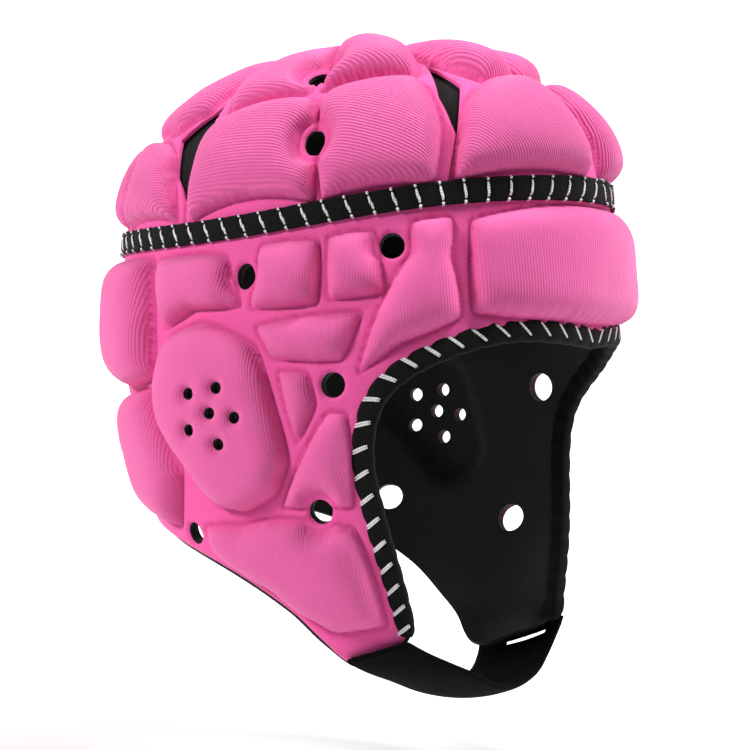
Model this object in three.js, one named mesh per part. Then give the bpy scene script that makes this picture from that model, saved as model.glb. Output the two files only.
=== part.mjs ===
// A padded soft head guard for a goalkeeper: two moulded foam panels over a black lining, an elastic band
// on the seam between them, a binding round the face and a strap under the chin.
import * as THREE from "three";

// Sizes are millimetres. Places on the head are given as degrees round it from the centre front, positive
// towards the wearer's right, with a height above the ears or, on the crown, a share of the way from the
// top of the crown to the band.
const CROWN_HEIGHT = 130;
const DOME_POWER = 2.2;
const CROWN_REACH = 120;
const MM_PER_DEGREE = 1.6;
const FRONT_BLEND = 4;

const LINING_THICK = 1.1;
const LAYER_GAP = 1.1;
const WEB_THICK = 2.2;
const WEB_INSIDE = LINING_THICK + LAYER_GAP;
const WEB_OUTSIDE = WEB_INSIDE + WEB_THICK;

const SEAM_DROP = 0.5;
const CROWN_EDGE_SHARE = 0.994;
const BACK_SEAM_DEGREES = 179.7;
const LINING_SHOWS = 1.2;

const TAPE_THICK = 1.4;
const TAPE_GAP = 0.45;
const BAND_WIDTH = 9.5;
const BAND_HEIGHT = 67.2;
const BAND_TILT = 8;
const BAND_ARCH = 3;
const BINDING_LEG = 5.5;
const BINDING_EDGE_GAP = 0.5;
const BINDING_INSIDE_GAP = 0.9;
const BINDING_END_HEIGHT = -82;
const STRAP_THICK = 2;
const STRAP_GAP = 2.15;

const PAD_CORNER = 5;
const PAD_BOW = 0.03;
const LONG_EDGE = 26;
const SHOULDER_INSET = 2.2;
const SHOULDER_RISE = 0.68;
const TOP_INSET = 7;
const NOTCH_STEP = 0.8;
const VENT_SIDES = 8;
const EAR_HOLE_SIDES = 5;
const EAR_HOLE_RADIUS = 1.9;
const INNER_SPACING = 15.5;
const INNER_WAVER = 0.6;

const PINK = { color: 0xe65aa5, roughness: 0.8, metalness: 0 };
const BLACK = { color: 0x171717, roughness: 0.85, metalness: 0 };

// Level sections of the hollow for the head, from the chin up
const HEAD_SECTIONS = [
  { height: -104, halfWidth: 50, front: 72, back: 54, frontPower: 2.4, backPower: 2.1 },
  { height: -92, halfWidth: 61.9, front: 80.7, back: 62.9, frontPower: 2.4, backPower: 2.1 },
  { height: -78, halfWidth: 66.1, front: 83.7, back: 67.1, frontPower: 2.4, backPower: 2.1 },
  { height: -45, halfWidth: 76, front: 91, back: 77, frontPower: 2.5, backPower: 2.1 },
  { height: 0, halfWidth: 80.5, front: 98, back: 90, frontPower: 2.45, backPower: 2.1 },
  { height: 40, halfWidth: 78, front: 99.5, back: 97.5, frontPower: 2.2, backPower: 2.05 },
  { height: 85, halfWidth: 70.5, front: 97.5, back: 95, frontPower: 2.05, backPower: 2 },
];

// Cut edge of the lower panel at the face, from the centre front to the tip of the jaw flap; the left flap
// hangs straighter than the right one
const FACE_EDGE = [
  { right: [0, 20.9], left: [0, 20.9] },
  { right: [24.3, 22.4], left: [24.3, 22.4] },
  { right: [42.2, 14.3], left: [42.2, 14.3] },
  { right: [53.6, 0.8], left: [53.6, 0.8] },
  { right: [56.8, -20], left: [55.8, -20] },
  { right: [53.2, -46.4], left: [51.2, -46.4] },
  { right: [45, -84], left: [38, -84.5] },
];

// Lower edge from the tip of the jaw flap to the nape
const LOWER_EDGE = [
  { right: [45, -84], left: [38, -84.5] },
  { right: [47.5, -89], left: [41, -90.5] },
  { right: [52, -92], left: [49, -94.5] },
  { right: [61, -94.4], left: [61, -99.3] },
  { right: [71, -86], left: [73, -96] },
  { right: [84, -73], left: [86, -84] },
  { right: [104, -59], left: [104, -67] },
  { right: [126, -50], left: [126, -52.8] },
  { right: [150, -45], left: [150, -44.2] },
  { right: [BACK_SEAM_DEGREES, -43], left: [BACK_SEAM_DEGREES, -43] },
];

// Pads moulded on each half of the lower panel, with their corners as degrees round and height
const LOWER_PADS = [
  {
    pad: "temple",
    rise: 8,
    corners: [[46, 63], [37.5, 65], [38.5, 51], [37, 29], [50, 20], [59, 9], [53, 35], [46.5, 52]],
  },
  {
    pad: "upper front",
    rise: 7.5,
    corners: [[66.5, 58], [55, 60], [53.5, 38], [66, 36]],
  },
  {
    pad: "upper middle",
    rise: 7.5,
    corners: [[86, 56], [69.5, 57], [69.5, 34.5], [88, 33.5]],
  },
  {
    pad: "upper rear",
    rise: 8,
    corners: [[123.5, 52.5], [98, 52.5], [92, 34.5], [107, 33.5], [118, 27]],
  },
  {
    pad: "rear bar",
    rise: 8.5,
    corners: [[150, 51], [127, 52], [122, 9], [134, 5], [149, 12]],
  },
  {
    pad: "cheek bar",
    rise: 6.5,
    corners: [[86, 26], [58.5, 30.5], [63, 14], [81, 15]],
  },
  {
    pad: "cheek wedge",
    rise: 5.5,
    corners: [[79, 9.5], [71.5, 9], [69.5, -2], [74, -15]],
  },
  {
    pad: "cheek corner",
    rise: 6,
    corners: [[66, -5.5], [62, -5.5], [60.5, -38], [78.5, -38.5]],
  },
  {
    pad: "jaw",
    rise: 8.5,
    corners: [[104, -47], [92, -46.5], [80, -43.5], [61, -46.5], [53, -79], [69, -81], [99, -55.5]],
  },
  {
    pad: "rear low",
    rise: 7,
    corners: [[125, 3.5], [112.5, -26], [117, -48], [140, -42.5], [147, -6], [136, 1.5]],
  },
  {
    pad: "back upper",
    rise: 8,
    corners: [[177, 50], [154, 50.5], [153, 11], [177, 10]],
  },
  {
    pad: "back low",
    rise: 7,
    corners: [[177, 4], [151, -3], [145, -40], [177, -39]],
  },
];

const BROW_PAD = {
  pad: "brow",
  rise: 8.2,
  corners: [[-34, 31], [-33, 64], [-15, 70.5], [15, 70.5], [33, 64], [34, 31], [15, 29.5], [-15, 29.5]],
};

const EAR_PAD = {
  pad: "ear",
  rise: 9,
  corners: [
    [103, 28], [86.5, 19], [81, -1], [77, -22], [80.5, -34], [90, -40.5],
    [99, -39], [110, -23], [118.5, -8], [120, 8], [115, 23.5],
  ],
};
const EAR_HOLES = [[107.5, 2], [99, 4], [101, -5], [93.5, -6.5], [107.5, -11], [98.5, -16]];
const LEFT_EAR_HOLES_FORWARD = 4.5;

// Vents through the lower panel; pads keep out of the ring round a vent
const LOWER_VENTS = [
  { vent: "upper rear", right: [91, 45], left: [91, 45], radius: 4.6, ring: 8 },
  { vent: "upper front", right: [51, 55], left: [51, 55], radius: 4.6, ring: 7.5 },
  { vent: "cheek", right: [65, 5], left: [61, 5], radius: 4.6, ring: 6.5 },
  { vent: "jaw", right: [68.5, -40.5], left: [68, -50], radius: 4.6, ring: 7 },
  { vent: "nape", right: [110, -50], left: [112.5, -44], radius: 4, ring: 6 },
  { vent: "back", right: [147, 3], left: [147, 3], radius: 4.4, ring: 7 },
];

// Pads moulded on each half of the crown, with their corners as degrees round and share
const CROWN_PADS = [
  {
    pad: "front low",
    rise: 9.5,
    corners: [[3.5, 0.94], [36, 0.94], [32.5, 0.81], [26.5, 0.67], [14, 0.545], [4, 0.52]],
  },
  {
    pad: "front top",
    rise: 11,
    corners: [[4, 0.475], [17.5, 0.505], [22.5, 0.42], [24, 0.28], [25, 0.12], [10, 0.08]],
  },
  {
    pad: "side low front",
    rise: 7.5,
    corners: [[71, 0.565], [39.5, 0.505], [38.5, 0.75], [41, 0.94], [68.5, 0.95]],
  },
  {
    pad: "side low rear",
    rise: 7.5,
    corners: [[71.5, 0.95], [74.5, 0.57], [110, 0.63], [113, 0.69], [111.5, 0.95]],
  },
  {
    pad: "side top front",
    rise: 9,
    corners: [[70, 0.5], [40, 0.455], [33, 0.33], [35, 0.18], [48, 0.08], [70, 0.08]],
  },
  {
    pad: "side top rear",
    rise: 8,
    corners: [[79, 0.505], [109, 0.575], [116, 0.47], [118, 0.2], [108, 0.1], [88, 0.09]],
  },
  {
    pad: "rear low front",
    rise: 8.5,
    corners: [[118.5, 0.95], [127, 0.74], [136, 0.675], [146.5, 0.67], [145.5, 0.95]],
  },
  {
    pad: "rear top front",
    rise: 8.5,
    corners: [[125, 0.535], [134, 0.62], [145.5, 0.61], [144, 0.15], [130, 0.13]],
  },
  {
    pad: "rear low back",
    rise: 8.5,
    corners: [[149, 0.95], [149.5, 0.67], [159, 0.675], [169, 0.74], [177, 0.95]],
  },
  {
    pad: "rear top back",
    rise: 8.5,
    corners: [[150.5, 0.61], [161, 0.62], [170, 0.535], [168, 0.13], [154, 0.15]],
  },
];

const CROWN_VENTS = [
  { vent: "side low", round: 72, share: 0.75, radius: 4.4, ring: 9 },
  { vent: "side top", round: 78, share: 0.39, radius: 4.4, ring: 7 },
  { vent: "rear low", round: 147.5, share: 0.8, radius: 4.4, ring: 8 },
];

// Darts between the petals: an open window with a foot, and a slit from the foot to the band
const DARTS = [
  {
    dart: "front",
    window: [[27, 0.33], [35.5, 0.62], [35, 0.75], [26.5, 0.535]],
    foot: [34.5, 0.8],
    seam: 38,
  },
  {
    dart: "rear",
    window: [[121.5, 0.51], [130, 0.655], [121, 0.77], [116, 0.66]],
    foot: [115.5, 0.87],
    seam: 114.5,
  },
];
const BACK_DART = { dart: "back", window: [[180, 0.5], [187, 0.67], [180, 0.84], [173, 0.67]] };
const DART_SLIT = 0.8;
const DART_STEP = 10;
const DART_BOW = 0.15;

// Rails of the chin strap from the right flap to the left one: its ends lie on the flaps, as degrees round
// and height, and between them the rails hang free, as places across, forward and up
const STRAP_RIGHT_END = { rear: [63, -92], front: [44.5, -86.5] };
const STRAP_FREE = [
  { place: "off the right flap", rear: [-55, -33.5, -100.5], front: [-48.5, -57.5, -93.4] },
  { place: "right quarter", rear: [-37, -34, -105.5], front: [-30, -63.5, -101.3] },
  { place: "middle", rear: [0, -33.5, -114.5], front: [0, -65, -110.5] },
  { place: "left quarter", rear: [30, -33, -111], front: [28, -65, -107] },
  { place: "off the left flap", rear: [50, -29, -106], front: [44, -63.5, -102] },
];
const STRAP_LEFT_END = { rear: [-68, -95], front: [-38, -85] };
const STRAP_END_CUT = 2.5;
const STRAP_STEPS = 34;
const STRAP_BULGE = 2.2;
const STRAP_BELLY = 1.5;
const THROAT = new THREE.Vector3(0, -40, -60);
const STRAP_SLIT = { along: 0.92, length: 0.62, width: 2.2 };

const degToRad = THREE.MathUtils.degToRad;
const lerp = THREE.MathUtils.lerp;

// Smooth curve through one column of a table of rows ordered by height
function columnAt(rows, column, height) {
  const level = THREE.MathUtils.clamp(height, rows[0].height, rows.at(-1).height);
  const upper = Math.max(1, rows.findIndex((row) => row.height >= level));
  const slope = (i) => (rows[i + 1][column] - rows[i][column]) / (rows[i + 1].height - rows[i].height);
  const gap = (i) => rows[i + 1].height - rows[i].height;
  const tangent = (i) => {
    if (i === 0) return slope(0);
    if (i === rows.length - 1) return slope(i - 1);
    return (slope(i - 1) * gap(i) + slope(i) * gap(i - 1)) / (gap(i - 1) + gap(i));
  };
  const low = upper - 1;
  const span = gap(low);
  const t = (level - rows[low].height) / span;
  const rise = rows[upper][column] - rows[low][column];
  const start = tangent(low) * span - rise;
  const end = rise - tangent(upper) * span;
  return rows[low][column] + t * rise + t * (1 - t) * (start * (1 - t) + end * t);
}

function headRadius(degrees, height) {
  const forward = Math.cos(degToRad(degrees));
  const aside = Math.abs(Math.sin(degToRad(degrees)));
  const frontShare = 0.5 + 0.5 * Math.tanh(FRONT_BLEND * forward);
  const at = (column) => columnAt(HEAD_SECTIONS, column, height);
  const reach = lerp(at("back"), at("front"), frontShare);
  const power = lerp(at("backPower"), at("frontPower"), frontShare);
  const sum = (aside / at("halfWidth")) ** power + (Math.abs(forward) / reach) ** power;
  return sum ** (-1 / power);
}

// Height of the seam between crown and lower panel: higher at the front than at the back
function bandHeight(degrees) {
  const angle = degToRad(degrees);
  return BAND_HEIGHT + BAND_TILT * Math.cos(angle) + BAND_ARCH * Math.cos(2 * angle);
}

// The two panels are drawn flat, and these surfaces bend the flat drawing round the head
const lowerFlat = (round, height) => new THREE.Vector2(round * MM_PER_DEGREE, height);

function lowerSurface(flat) {
  const degrees = flat.x / MM_PER_DEGREE;
  const radius = headRadius(degrees, flat.y);
  const angle = degToRad(degrees);
  return new THREE.Vector3(-radius * Math.sin(angle), -radius * Math.cos(angle), flat.y);
}

function crownFlat(round, share) {
  const angle = degToRad(round);
  return new THREE.Vector2(share * CROWN_REACH * Math.sin(angle), share * CROWN_REACH * Math.cos(angle));
}

function crownSurface(flat) {
  const degrees = THREE.MathUtils.radToDeg(Math.atan2(flat.x, flat.y));
  const turn = Math.min(1, flat.length() / CROWN_REACH) * Math.PI / 2;
  const spread = Math.sin(turn) ** (2 / DOME_POWER);
  const climb = Math.max(0, Math.cos(turn)) ** (2 / DOME_POWER);
  const rim = lowerSurface(lowerFlat(degrees, bandHeight(degrees)));
  return new THREE.Vector3(rim.x * spread, rim.y * spread, lerp(rim.z, CROWN_HEIGHT, climb));
}

// Point at a distance out from a surface, along its normal
function lifted(surface, flat, lift) {
  const step = 0.05;
  const inward = Math.max(0, 1 - step / Math.max(step, flat.length()));
  const base = surface === crownSurface ? flat.clone().multiplyScalar(inward) : flat;
  const across = surface(new THREE.Vector2(base.x + step, base.y));
  across.sub(surface(new THREE.Vector2(base.x - step, base.y)));
  const along = surface(new THREE.Vector2(base.x, base.y + step));
  along.sub(surface(new THREE.Vector2(base.x, base.y - step)));
  const normal = across.cross(along).normalize();
  const point = surface(flat);
  if (normal.dot(point) < 0) normal.negate();
  return point.addScaledVector(normal, lift);
}

// Rings are closed lists of flat points
function area(ring) {
  return THREE.ShapeUtils.area(ring);
}

const turned = (ring, anticlockwise) => (area(ring) > 0 === anticlockwise ? ring : [...ring].reverse());

function circle(center, radius, sides) {
  const points = [];
  for (let i = 0; i < sides; i++) {
    const angle = ((i + 0.37) / sides) * 2 * Math.PI;
    points.push(new THREE.Vector2(center.x + radius * Math.cos(angle), center.y + radius * Math.sin(angle)));
  }
  return turned(points, false);
}

function insideRing(ring, point) {
  let inside = false;
  ring.forEach((a, i) => {
    const b = ring[(i + 1) % ring.length];
    if (a.y > point.y === b.y > point.y) return;
    if (point.x < a.x + ((b.x - a.x) * (point.y - a.y)) / (b.y - a.y)) inside = !inside;
  });
  return inside;
}

function nearestOnRing(ring, point) {
  return Math.min(...ring.map((a, i) => {
    const b = ring[(i + 1) % ring.length];
    const edge = b.clone().sub(a);
    const t = THREE.MathUtils.clamp(point.clone().sub(a).dot(edge) / edge.lengthSq(), 0, 1);
    return point.distanceTo(a.clone().addScaledVector(edge, t));
  }));
}

// Line with points put in so that no stretch of it is long; the new points stand a little aside of it
function divided(line) {
  return line.flatMap((from, i) => {
    const to = line[i + 1];
    if (!to) return [from];
    const pieces = Math.ceil(from.distanceTo(to) / DART_STEP);
    const aside = new THREE.Vector2(from.y - to.y, to.x - from.x).setLength(DART_BOW);
    const points = [];
    for (let k = 0; k < pieces; k++) {
      const bow = Math.sin((Math.PI * k) / pieces);
      points.push(from.clone().lerp(to, k / pieces).addScaledVector(aside, bow));
    }
    return points;
  });
}

// Pad outline with its corners cut, its long edges bowed a little and its ring kept clear round each vent
function padRing(corners, vents) {
  const points = turned(corners, true);
  const ring = [];
  points.forEach((corner, i) => {
    const before = points.at(i - 1);
    const after = points[(i + 1) % points.length];
    const cutBefore = Math.min(PAD_CORNER / corner.distanceTo(before), 0.3);
    const cutAfter = Math.min(PAD_CORNER / corner.distanceTo(after), 0.3);
    ring.push(corner.clone().lerp(before, cutBefore));
    ring.push(corner.clone().lerp(after, cutAfter));
    const edge = after.clone().sub(corner);
    if (edge.length() < LONG_EDGE) return;
    const outward = new THREE.Vector2(edge.y, -edge.x);
    ring.push(corner.clone().lerp(after, 0.5).addScaledVector(outward, PAD_BOW));
  });
  return vents.reduce(notched, ring);
}

// Ring with a round notch where it comes too near a vent
function notched(ring, { center, ring: clear }) {
  const near = (point) => point.distanceTo(center) < clear;
  const start = ring.findIndex((point) => !near(point));
  const path = [...ring.slice(start), ...ring.slice(0, start)];
  const found = [];
  let entry = null;
  path.forEach((from, i) => {
    const to = path[(i + 1) % path.length];
    if (!near(from)) found.push(from);
    for (const crossing of circleCrossings(from, to, center, clear)) {
      if (entry) found.push(...arcInside(ring, entry, crossing, center));
      found.push(crossing);
      entry = entry ? null : crossing;
    }
  });
  return found;
}

function circleCrossings(from, to, center, radius) {
  const edge = to.clone().sub(from);
  const middle = center.clone().sub(from).dot(edge) / edge.lengthSq();
  const foot = from.clone().addScaledVector(edge, middle);
  const square = (radius ** 2 - foot.distanceToSquared(center)) / edge.lengthSq();
  if (square <= 0) return [];
  const places = [middle - Math.sqrt(square), middle + Math.sqrt(square)];
  return places.filter((t) => t > 0 && t < 1).map((t) => from.clone().addScaledVector(edge, t));
}

// Points of the arc round a center from one point to another, on the side that lies inside the ring
function arcInside(ring, entry, exit, center) {
  const radius = entry.distanceTo(center);
  const first = entry.clone().sub(center).angle();
  const sweep = THREE.MathUtils.euclideanModulo(exit.clone().sub(center).angle() - first, 2 * Math.PI);
  const at = (angle) => {
    return new THREE.Vector2(Math.cos(angle), Math.sin(angle)).multiplyScalar(radius).add(center);
  };
  const turn = insideRing(ring, at(first + sweep / 2)) ? sweep : sweep - 2 * Math.PI;
  const steps = Math.ceil(Math.abs(turn) / NOTCH_STEP);
  const points = [];
  for (let i = 1; i < steps; i++) points.push(at(first + (turn * i) / steps));
  return points;
}

function shrunk(ring, inset) {
  const middle = ring.reduce((sum, point) => sum.add(point), new THREE.Vector2()).divideScalar(ring.length);
  return ring.map((point) => point.clone().lerp(middle, Math.min(0.55, inset / point.distanceTo(middle))));
}

// Swaps the shared edge of two facets wherever that gives two better shaped ones
function relaxed(points, faces) {
  const owner = new Map();
  const key = (a, b) => `${a},${b}`;
  const claim = (f) => faces[f].forEach((a, k) => owner.set(key(a, faces[f][(k + 1) % 3]), f));
  const cross = (a, b, c) => {
    return (points[b].x - points[a].x) * (points[c].y - points[a].y)
      - (points[b].y - points[a].y) * (points[c].x - points[a].x);
  };
  const angleAt = (a, b, c) => {
    return points[b].clone().sub(points[a]).angleTo(points[c].clone().sub(points[a]));
  };
  faces.forEach((_, f) => claim(f));
  let swaps = 1;
  for (let round = 0; round < 40 && swaps > 0; round++) {
    swaps = 0;
    for (let f = 0; f < faces.length; f++) {
      for (let k = 0; k < 3; k++) {
        const [a, b, c] = [0, 1, 2].map((n) => faces[f][(k + n) % 3]);
        const twin = owner.get(key(b, a));
        if (twin === undefined) continue;
        const d = faces[twin].find((v) => v !== a && v !== b);
        if (angleAt(c, a, b) + angleAt(d, a, b) <= Math.PI + 1e-6) continue;
        if (cross(c, a, d) <= 0 || cross(c, d, b) <= 0) continue;
        owner.delete(key(a, b));
        owner.delete(key(b, a));
        faces[f] = [c, a, d];
        faces[twin] = [c, d, b];
        claim(f);
        claim(twin);
        swaps += 1;
        break;
      }
    }
  }
  return faces;
}

// Collects the points and facets of one solid
class Solid {
  constructor(surface) {
    this.surface = surface;
    this.places = [];
    this.facets = [];
  }

  addRing(points, lift) {
    const ids = points.map((point) => {
      this.places.push(lifted(this.surface, point, lift));
      return this.places.length - 1;
    });
    return { points, ids };
  }

  // Facets between an outer ring, the holes in it and single inner points
  fill(outer, holes, facingOut) {
    const rings = [outer, ...holes];
    const points = rings.flatMap((ring) => ring.points);
    const ids = rings.flatMap((ring) => ring.ids);
    const pierced = holes.map((hole) => [...hole.points]);
    const found = THREE.ShapeUtils.triangulateShape([...outer.points], pierced);
    const signed = found.reduce((sum, face) => sum + area(face.map((i) => points[i])), 0);
    const faces = found.map((face) => (signed > 0 ? [...face] : [...face].reverse()));
    for (const face of relaxed(points, faces)) {
      const [a, b, c] = face.map((i) => ids[i]);
      this.facets.push(facingOut ? [a, b, c] : [a, c, b]);
    }
  }

  // Facets between two rings with the same count of points
  join(from, to) {
    from.ids.forEach((a, i) => {
      const next = (i + 1) % from.ids.length;
      this.facets.push([a, from.ids[next], to.ids[next]], [a, to.ids[next], to.ids[i]]);
    });
  }

  mesh(name, look) {
    const volume = this.facets.reduce((sum, [a, b, c]) => {
      const cross = this.places[b].clone().cross(this.places[c]);
      return sum + this.places[a].dot(cross);
    }, 0);
    const facets = volume > 0 ? this.facets : this.facets.map(([a, b, c]) => [a, c, b]);
    const geometry = new THREE.BufferGeometry().setFromPoints(this.places);
    geometry.setIndex(facets.flat());
    geometry.computeVertexNormals();
    const mesh = new THREE.Mesh(geometry, new THREE.MeshStandardMaterial(look));
    mesh.name = name;
    return mesh;
  }
}

// Points spread evenly inside a ring, clear of its edge and of the holes
function innerPoints(outline, holes) {
  const box = new THREE.Box2().setFromPoints(outline);
  const clear = INNER_SPACING * 0.45;
  const found = [];
  let odd = false;
  for (let y = box.min.y + clear; y < box.max.y; y += INNER_SPACING * 0.87) {
    odd = !odd;
    for (let x = box.min.x + (odd ? 0.3 : 0.8) * INNER_SPACING; x < box.max.x; x += INNER_SPACING) {
      const point = new THREE.Vector2(x, y + INNER_WAVER * Math.sin(x));
      const free = insideRing(outline, point) && nearestOnRing(outline, point) > clear;
      if (free && holes.every((hole) => nearestOnRing(hole, point) > clear)) found.push(point);
    }
  }
  return found;
}

// Smooth sheet between two distances from the surface, with holes through it; returns the inner facets' plan
function sheetSolid(surface, outline, holes, inside, outside) {
  const solid = new Solid(surface);
  const edge = turned(outline, true);
  const between = innerPoints(edge, holes);
  const faces = {};
  for (const [side, lift] of [["inner", inside], ["outer", outside]]) {
    const rim = solid.addRing(edge, lift);
    const gaps = holes.map((hole) => solid.addRing(hole, lift));
    const singles = between.map((point) => solid.addRing([point], lift));
    solid.fill(rim, [...gaps, ...singles], side === "outer");
    faces[side] = [rim, ...gaps];
  }
  faces.outer.forEach((ring, i) => solid.join(faces.inner[i], ring));
  return solid;
}

// Moulded panel: a web with pads that rise from it, and holes through web and pads
function paddedSolid(surface, outline, vents, pads) {
  const solid = new Solid(surface);
  const edge = turned(outline, true);
  const holes = [...vents, ...pads.flatMap((pad) => pad.holes)];
  const rim = solid.addRing(edge, WEB_OUTSIDE);
  const ventRims = vents.map((vent) => solid.addRing(vent, WEB_OUTSIDE));
  const padHoleRims = [];
  const feet = pads.map(({ ring, rise, holes: padHoles }) => {
    const foot = solid.addRing(ring, WEB_OUTSIDE);
    const shoulder = solid.addRing(shrunk(ring, SHOULDER_INSET), WEB_OUTSIDE + SHOULDER_RISE * rise);
    const top = solid.addRing(shrunk(ring, TOP_INSET), WEB_OUTSIDE + rise);
    const through = padHoles.map((hole) => solid.addRing(hole, WEB_OUTSIDE + rise));
    solid.join(foot, shoulder);
    solid.join(shoulder, top);
    solid.fill(top, through, true);
    padHoleRims.push(...through);
    return foot;
  });
  solid.fill(rim, [...ventRims, ...feet], true);

  const innerRim = solid.addRing(edge, WEB_INSIDE);
  const innerGaps = holes.map((hole) => solid.addRing(hole, WEB_INSIDE));
  const singles = innerPoints(edge, holes).map((point) => solid.addRing([point], WEB_INSIDE));
  solid.fill(innerRim, [...innerGaps, ...singles], false);
  [rim, ...ventRims, ...padHoleRims].forEach((ring, i) => solid.join([innerRim, ...innerGaps][i], ring));
  return solid;
}

// Solid of a section carried along stations, closed on itself or capped at its ends
function sweptSolid(stations, closed) {
  const solid = new Solid(null);
  const rings = stations.map((section) => {
    const first = solid.places.length;
    solid.places.push(...section);
    return { ids: section.map((_, i) => first + i) };
  });
  rings.forEach((ring, i) => {
    if (i + 1 < rings.length || closed) solid.join(ring, rings[(i + 1) % rings.length]);
  });
  return { solid, rings };
}

const bothSides = (rows) => rows.flatMap((row) => [1, -1].map((side) => ({ row, side })));

function flatCorners(flatten, corners, side) {
  return corners.map(([round, place]) => flatten(side * round, place));
}

function spacedAlong(rows, hand, count) {
  const side = hand === "right" ? 1 : -1;
  const curve = new THREE.SplineCurve(rows.map((row) => lowerFlat(side * row[hand][0], row[hand][1])));
  return curve.getSpacedPoints(count);
}

// Lower panel and its lining
const FACE_STEPS = 15;
const faceLine = [
  ...spacedAlong(FACE_EDGE, "left", FACE_STEPS).reverse().slice(0, -1),
  ...spacedAlong(FACE_EDGE, "right", FACE_STEPS),
];

function lowerOutline(drop) {
  const [right, left] = ["right", "left"].map((hand) => spacedAlong(LOWER_EDGE, hand, 19).slice(1));
  [...right, ...left].forEach((point) => { point.y -= drop; });
  const top = [];
  const steps = 52;
  for (let i = 0; i <= steps; i++) {
    const degrees = BACK_SEAM_DEGREES * (1 - (2 * i) / steps);
    top.push(lowerFlat(degrees, bandHeight(degrees) - SEAM_DROP));
  }
  return [...faceLine, ...right, ...top, ...left.reverse()];
}

const lowerVentPlaces = bothSides(LOWER_VENTS).map(({ row, side }) => {
  const [round, height] = side > 0 ? row.right : row.left;
  return { center: lowerFlat(side * round, height), radius: row.radius, ring: row.ring };
});
const lowerVents = lowerVentPlaces.map(({ center, radius }) => circle(center, radius, VENT_SIDES));

function earHoles(side) {
  const forward = side > 0 ? 0 : LEFT_EAR_HOLES_FORWARD;
  return EAR_HOLES.map(([round, height]) => {
    return circle(lowerFlat(side * (round - forward), height), EAR_HOLE_RADIUS, EAR_HOLE_SIDES);
  });
}

function makePad(flatten, { rise, corners }, side, vents, holes = []) {
  return { rise, holes, ring: padRing(flatCorners(flatten, corners, side), vents) };
}

const lowerPads = [
  makePad(lowerFlat, BROW_PAD, 1, lowerVentPlaces),
  ...[1, -1].map((side) => makePad(lowerFlat, EAR_PAD, side, lowerVentPlaces, earHoles(side))),
  ...bothSides(LOWER_PADS).map(({ row, side }) => makePad(lowerFlat, row, side, lowerVentPlaces)),
];

function lowerPanel() {
  return paddedSolid(lowerSurface, lowerOutline(0), lowerVents, lowerPads).mesh("lower_panel", PINK);
}

function lowerLining() {
  const holes = [...lowerVents, ...lowerPads.flatMap((pad) => pad.holes)];
  const solid = sheetSolid(lowerSurface, lowerOutline(LINING_SHOWS), holes, 0, LINING_THICK);
  return solid.mesh("lower_lining", BLACK);
}

// Crown panel and its lining
const crownVentPlaces = bothSides(CROWN_VENTS).map(({ row, side }) => ({
  center: crownFlat(side * row.round, row.share), radius: row.radius, ring: row.ring,
}));
const crownVents = crownVentPlaces.map(({ center, radius }) => circle(center, radius, VENT_SIDES));

function crownRim(steps) {
  const rim = [];
  for (let i = 0; i < steps; i++) rim.push(crownFlat((360 * i) / steps - 180, CROWN_EDGE_SHARE));
  return rim;
}

// Outline of the crown with a slit cut in from the band to each dart's window
function crownOutline() {
  const cuts = bothSides(DARTS).map(({ row, side }) => {
    const foot = crownFlat(side * row.foot[0], row.foot[1]);
    const mouth = crownFlat(side * row.seam, CROWN_EDGE_SHARE);
    const aside = new THREE.Vector2(mouth.y, -mouth.x).setLength(DART_SLIT / 2);
    const window = flatCorners(crownFlat, row.window, side);
    const around = side > 0 ? [window[3], window[0], window[1]] : [window[1], window[0], window[3]];
    const [first, apex, last] = around;
    const flanks = side > 0 ? [first, apex, last, window[2]] : [window[2], first, apex, last];
    return {
      degrees: side * row.seam,
      points: divided([
        mouth.clone().sub(aside),
        foot.clone().sub(aside),
        ...flanks,
        foot.clone().add(aside),
        mouth.clone().add(aside),
      ]),
    };
  });
  const steps = 60;
  const points = [];
  for (let i = 0; i < steps; i++) {
    const degrees = (360 * (i + 0.5)) / steps - 180;
    const next = degrees + 360 / steps;
    const atCut = cuts.some((cut) => Math.abs(cut.degrees - degrees) < 1.5);
    if (!atCut) points.push(crownFlat(degrees, CROWN_EDGE_SHARE));
    const cut = cuts.find(({ degrees: at }) => at >= degrees && at < next);
    if (cut) points.push(...cut.points);
  }
  return points;
}

const backCorners = BACK_DART.window.map(([round, share]) => crownFlat(round, share));
const backWindow = turned(divided([...backCorners, backCorners[0]]).slice(0, -1), false);
const crownPads = bothSides(CROWN_PADS).map(({ row, side }) => {
  return makePad(crownFlat, row, side, crownVentPlaces);
});

function crownPanel() {
  const solid = paddedSolid(crownSurface, crownOutline(), [...crownVents, backWindow], crownPads);
  return solid.mesh("crown_panel", PINK);
}

function crownLining() {
  return sheetSolid(crownSurface, crownRim(60), crownVents, 0, LINING_THICK).mesh("crown_lining", BLACK);
}

// Elastic band over the seam, half on the lower panel and half on the crown
function bandPoint(degrees, up, lift) {
  if (up <= 0) return lifted(lowerSurface, lowerFlat(degrees, bandHeight(degrees) + up), lift);
  const climb = up / (CROWN_HEIGHT - bandHeight(degrees));
  const share = Math.acos(climb ** (DOME_POWER / 2)) / (Math.PI / 2);
  return lifted(crownSurface, crownFlat(degrees, share), lift);
}

function crownBand() {
  const inside = WEB_OUTSIDE + TAPE_GAP;
  const half = BAND_WIDTH / 2;
  const steps = 60;
  const stations = [];
  for (let i = 0; i < steps; i++) {
    const degrees = (360 * i) / steps;
    const inner = [-half, 0, half].map((up) => bandPoint(degrees, up, inside));
    const outer = [half, 0, -half].map((up) => bandPoint(degrees, up, inside + TAPE_THICK));
    stations.push([...inner, ...outer]);
  }
  return sweptSolid(stations, true).solid.mesh("crown_band", BLACK);
}

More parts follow.
